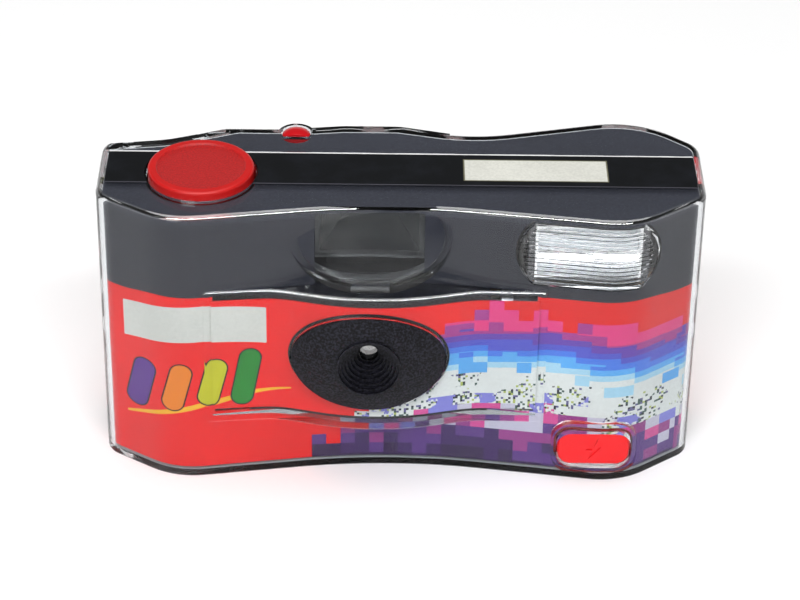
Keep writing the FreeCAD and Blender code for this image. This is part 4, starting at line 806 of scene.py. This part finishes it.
steelLook = {
    "colour": (0.62, 0.62, 0.64, 1),
    "dull": (0.4, 0.39, 0.38, 1),
    "metal": 1.0,
    "rough": 0.28,
    "roughShares": (0.7, 1.3),
    "marks": 0.3,
    "drawn": (6, 6, 0.8),
    "streakRange": (0.3, 0.7),
    "streakDepth": 0.12,
    "streakHeight": 0.00003,
}
reflectorLook = dict(steelLook, colour=(0.96, 0.96, 0.96, 1), dull=(0.85, 0.85, 0.85, 1),
                     rough=0.3, drawn=(0.5, 4, 4))
blackSteelLook = dict(steelLook, colour=(0.02, 0.02, 0.022, 1), dull=(0.08, 0.08, 0.08, 1),
                      metal=0.6, rough=0.5)
brassLook = dict(steelLook, colour=(0.78, 0.62, 0.32, 1), dull=(0.5, 0.4, 0.22, 1), rough=0.3)
dress(metal("springSteel", steelLook), "button_spring", "striker_spring", "shutter_spring")
dress(metal("brightAluminium", reflectorLook), "flash_reflector")
dress(metal("blackenedSteel", blackSteelLook), "shutter_blade", "aperture_plate")
dress(metal("contactBrass", brassLook), "switch_contact", "sync_contact",
      "battery_contact_minus", "battery_contact_plus")

# Lengths in metres: how far the button goes down, and the gap that stays under it
springLook = {
    "name": "returnSpring",
    "node": "button_spring",
    "travel": 0.001,
    "clear": 0.00008,
}


# The button's return spring: a copy of the spring piece with a mesh of its own, fixed to the case
# in its place
def returnSpring(look):
    spring = bpy.data.objects.new(look["name"], nodes[look["node"]].data.copy())
    bpy.context.scene.collection.objects.link(spring)
    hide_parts(look["node"])
    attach(spring, "case")
    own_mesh(spring)


returnSpring(springLook)


# Inner pieces in two colours, split across one axis
def banded(name, look):
    g = newMaterial(name)
    inBand = g.math("LESS_THAN", (g.x, g.y, g.z)[look["axis"]], look["bandEnd"])
    patches = g.noise(g.place, look["patchScale"])
    share = g.range(patches, *look["patchRange"], 0.0, look["patchShade"])
    colour = g.mix(share, g.mix(inBand, look["colour"], look["bandColour"]), look["patch"])
    setShader(g, colour=colour, rough=look["rough"])
    if look["metal"]:
        setShader(g, metal=g.range(inBand, 0.0, 1.0, *look["metal"]))
    bump(g, patches, look["patchDepth"])
    return g.material


cellLook = {
    "axis": 0,
    "bandEnd": -17.5,
    "colour": toLinear(70, 74, 84),
    "bandColour": toLinear(190, 192, 196),
    "patch": toLinear(90, 94, 104),
    "patchScale": 0.8,
    "patchRange": (0.4, 0.7),
    "patchShade": 0.3,
    "patchDepth": 0.1,
    "rough": 0.3,
    "metal": (0.3, 1.0),
}
capacitorLook = dict(cellLook, bandEnd=20.6, colour=toLinear(24, 26, 48),
                     patch=toLinear(40, 44, 70), metal=(0.0, 1.0))
coilLook = dict(cellLook, axis=2, bandEnd=22.6, colour=toLinear(150, 80, 36),
                bandColour=toLinear(52, 50, 52), patch=toLinear(120, 60, 30), metal=None,
                rough=0.4)
partsLook = dict(coilLook, bandEnd=23.5, colour=toLinear(40, 40, 42),
                 bandColour=toLinear(196, 160, 110), patch=toLinear(150, 90, 60))
dress(banded("cellWrap", cellLook), "battery")
dress(banded("capacitorSleeve", capacitorLook), "main_capacitor")
dress(banded("windingCopper", coilLook), "transformer", "trigger_coil")
dress(banded("smallParts", partsLook), "board_parts")

boardLook = {
    "laminate": toLinear(146, 108, 58),
    "fibre": toLinear(132, 96, 50),
    "fibreScale": 1.4,
    "fibreHeight": 0.2,
    "trace": toLinear(92, 62, 34),
    "traceShare": 0.42,
    "traceWidth": 0.3,
    "traceFade": 0.05,
    "runs": (5.2, 1.7),
    "seed": 5.0,
    "rough": (0.45, 0.3),
    "depth": 0.25,
    "height": 0.00003,
}


# Paper laminate with straight copper runs under brown lacquer
def circuitBoard(look):
    g = newMaterial("boardLaminate")
    runs = blocks(g, g.x, look["runs"], look["seed"])
    beside = g.size(g.minus(g.z, runs["Block Up"]))
    onLine = g.under(beside, look["traceWidth"], look["traceFade"])
    traces = g.times(onLine, g.math("LESS_THAN", runs["Random"], look["traceShare"]))
    fibre = g.noise(g.place, look["fibreScale"], detail=4.0)
    laminate = g.mix(fibre, look["laminate"], look["fibre"])
    setShader(g, colour=g.mix(traces, laminate, look["trace"]),
              rough=g.range(traces, 0.0, 1.0, *look["rough"]))
    bump(g, g.add(traces, g.times(fibre, look["fibreHeight"])), look["depth"], look["height"])
    return g.material


dress(circuitBoard(boardLook), "circuit_board")

filmLook = {
    "colour": toLinear(78, 50, 42),
    "edge": toLinear(58, 38, 34),
    "spool": (38.4, 4.3),
    "turns": 40.0,
    "rough": 0.22,
    "depth": 0.2,
    "height": 0.00003,
}


# Film, whose roll shows the edges of its layers
def filmBase(look):
    g = newMaterial("filmBase")
    radius = g.radius(g.place, look["spool"])
    layers = g.range(g.math("SINE", g.times(radius, look["turns"])), -1.0, 1.0)
    setShader(g, colour=g.mix(layers, look["colour"], look["edge"]), rough=look["rough"])
    bump(g, layers, look["depth"], look["height"])
    return g.material


dress(filmBase(filmLook), "film_strip", "film_roll")

tubeLook = {
    "glass": toLinear(236, 242, 246),
    "cap": toLinear(120, 120, 122),
    "middle": 33.6,
    "glassHalf": 8.8,
    "capFade": 0.4,
    "rough": 0.05,
    "through": 0.6,
    "ior": 1.5,
    "rippleScale": 0.5,
    "ripple": 0.03,
}


# Glass tube with a metal cap at each end
def glassTube(look):
    g = newMaterial("glassTube")
    offset = g.size(g.minus(g.x, look["middle"]))
    ends = g.range(offset, look["glassHalf"], look["glassHalf"] + look["capFade"])
    setShader(g, colour=g.mix(ends, look["glass"], look["cap"]), rough=look["rough"],
              through=look["through"], ior=look["ior"])
    bump(g, g.noise(g.place, look["rippleScale"]), look["ripple"])
    return g.material


dress(glassTube(tubeLook), "xenon_tube", "ready_lamp")
print("inner pieces dressed")

# Floor, lights and surroundings; lengths in metres, energy in watts
floorLook = {
    "half": 3.0,
    "drop": 0.00005,
    "colour": (0.9, 0.9, 0.9, 1),
    "rough": 0.8,
    "specular": 0.2,
    "grainScale": 0.4,
    "grainDepth": 0.05,
    "grainHeight": 0.0001,
}
lightLook = {
    "target": (0, 0, 0.03),
    "overhead": {"size": (1.0, 1.0), "place": (0.0, 0.12, 1.0), "energy": 5.5},
    "strip": {"size": (0.9, 0.14), "place": (0.0, -0.58, 0.78), "energy": 8.5},
    "front": {"size": (0.5, 0.5), "place": (-0.4, -0.8, 0.42), "energy": 1.5},
}
skyLook = {
    "horizon": 0.85,
    "top": 0.12,
    "rise": (0.1, 0.42),
}


def makeFloor(look):
    mesh = bpy.data.meshes.new("floor")
    half = look["half"]
    corners = [(-half, -half, 0), (half, -half, 0), (half, half, 0), (-half, half, 0)]
    mesh.from_pydata(corners, [], [(0, 1, 2, 3)])
    floor = bpy.data.objects.new("floor", mesh)
    floor.location.z = -look["drop"]
    bpy.context.scene.collection.objects.link(floor)
    g = newMaterial("floorPaper")
    setShader(g, colour=look["colour"], rough=look["rough"], specular=look["specular"])
    bump(g, g.noise(g.place, look["grainScale"]), look["grainDepth"], look["grainHeight"])
    mesh.materials.append(g.material)


def softLight(name, look, target):
    light = bpy.data.lights.new(name, "AREA")
    light.shape = "ELLIPSE" if look["size"][0] == look["size"][1] else "RECTANGLE"
    light.size, light.size_y = look["size"]
    light.energy = look["energy"]
    lamp = bpy.data.objects.new(name, light)
    bpy.context.scene.collection.objects.link(lamp)
    lamp.location = look["place"]
    lamp.rotation_mode = "QUATERNION"
    away = Vector(look["place"]) - Vector(target)
    lamp.rotation_quaternion = away.to_track_quat("Z", "Y")


# Pale at the horizon, darker overhead, so that glossy tops stay deep
def makeSky(look):
    world = bpy.data.worlds.new("studio")
    world.use_nodes = True
    g = Graph(world.node_tree)
    background = world.node_tree.nodes["Background"]
    height = g.parts(g.node("ShaderNodeTexCoord").outputs["Generated"])[2]
    strength = g.range(height, *look["rise"], look["horizon"], look["top"], smooth=True)
    g.feed(background.inputs["Strength"], strength)
    background.inputs["Color"].default_value = (1, 1, 1, 1)
    bpy.context.scene.world = world


makeFloor(floorLook)
for name in ("overhead", "strip", "front"):
    softLight(name, lightLook[name], lightLook["target"])
makeSky(skyLook)
print("stage set")
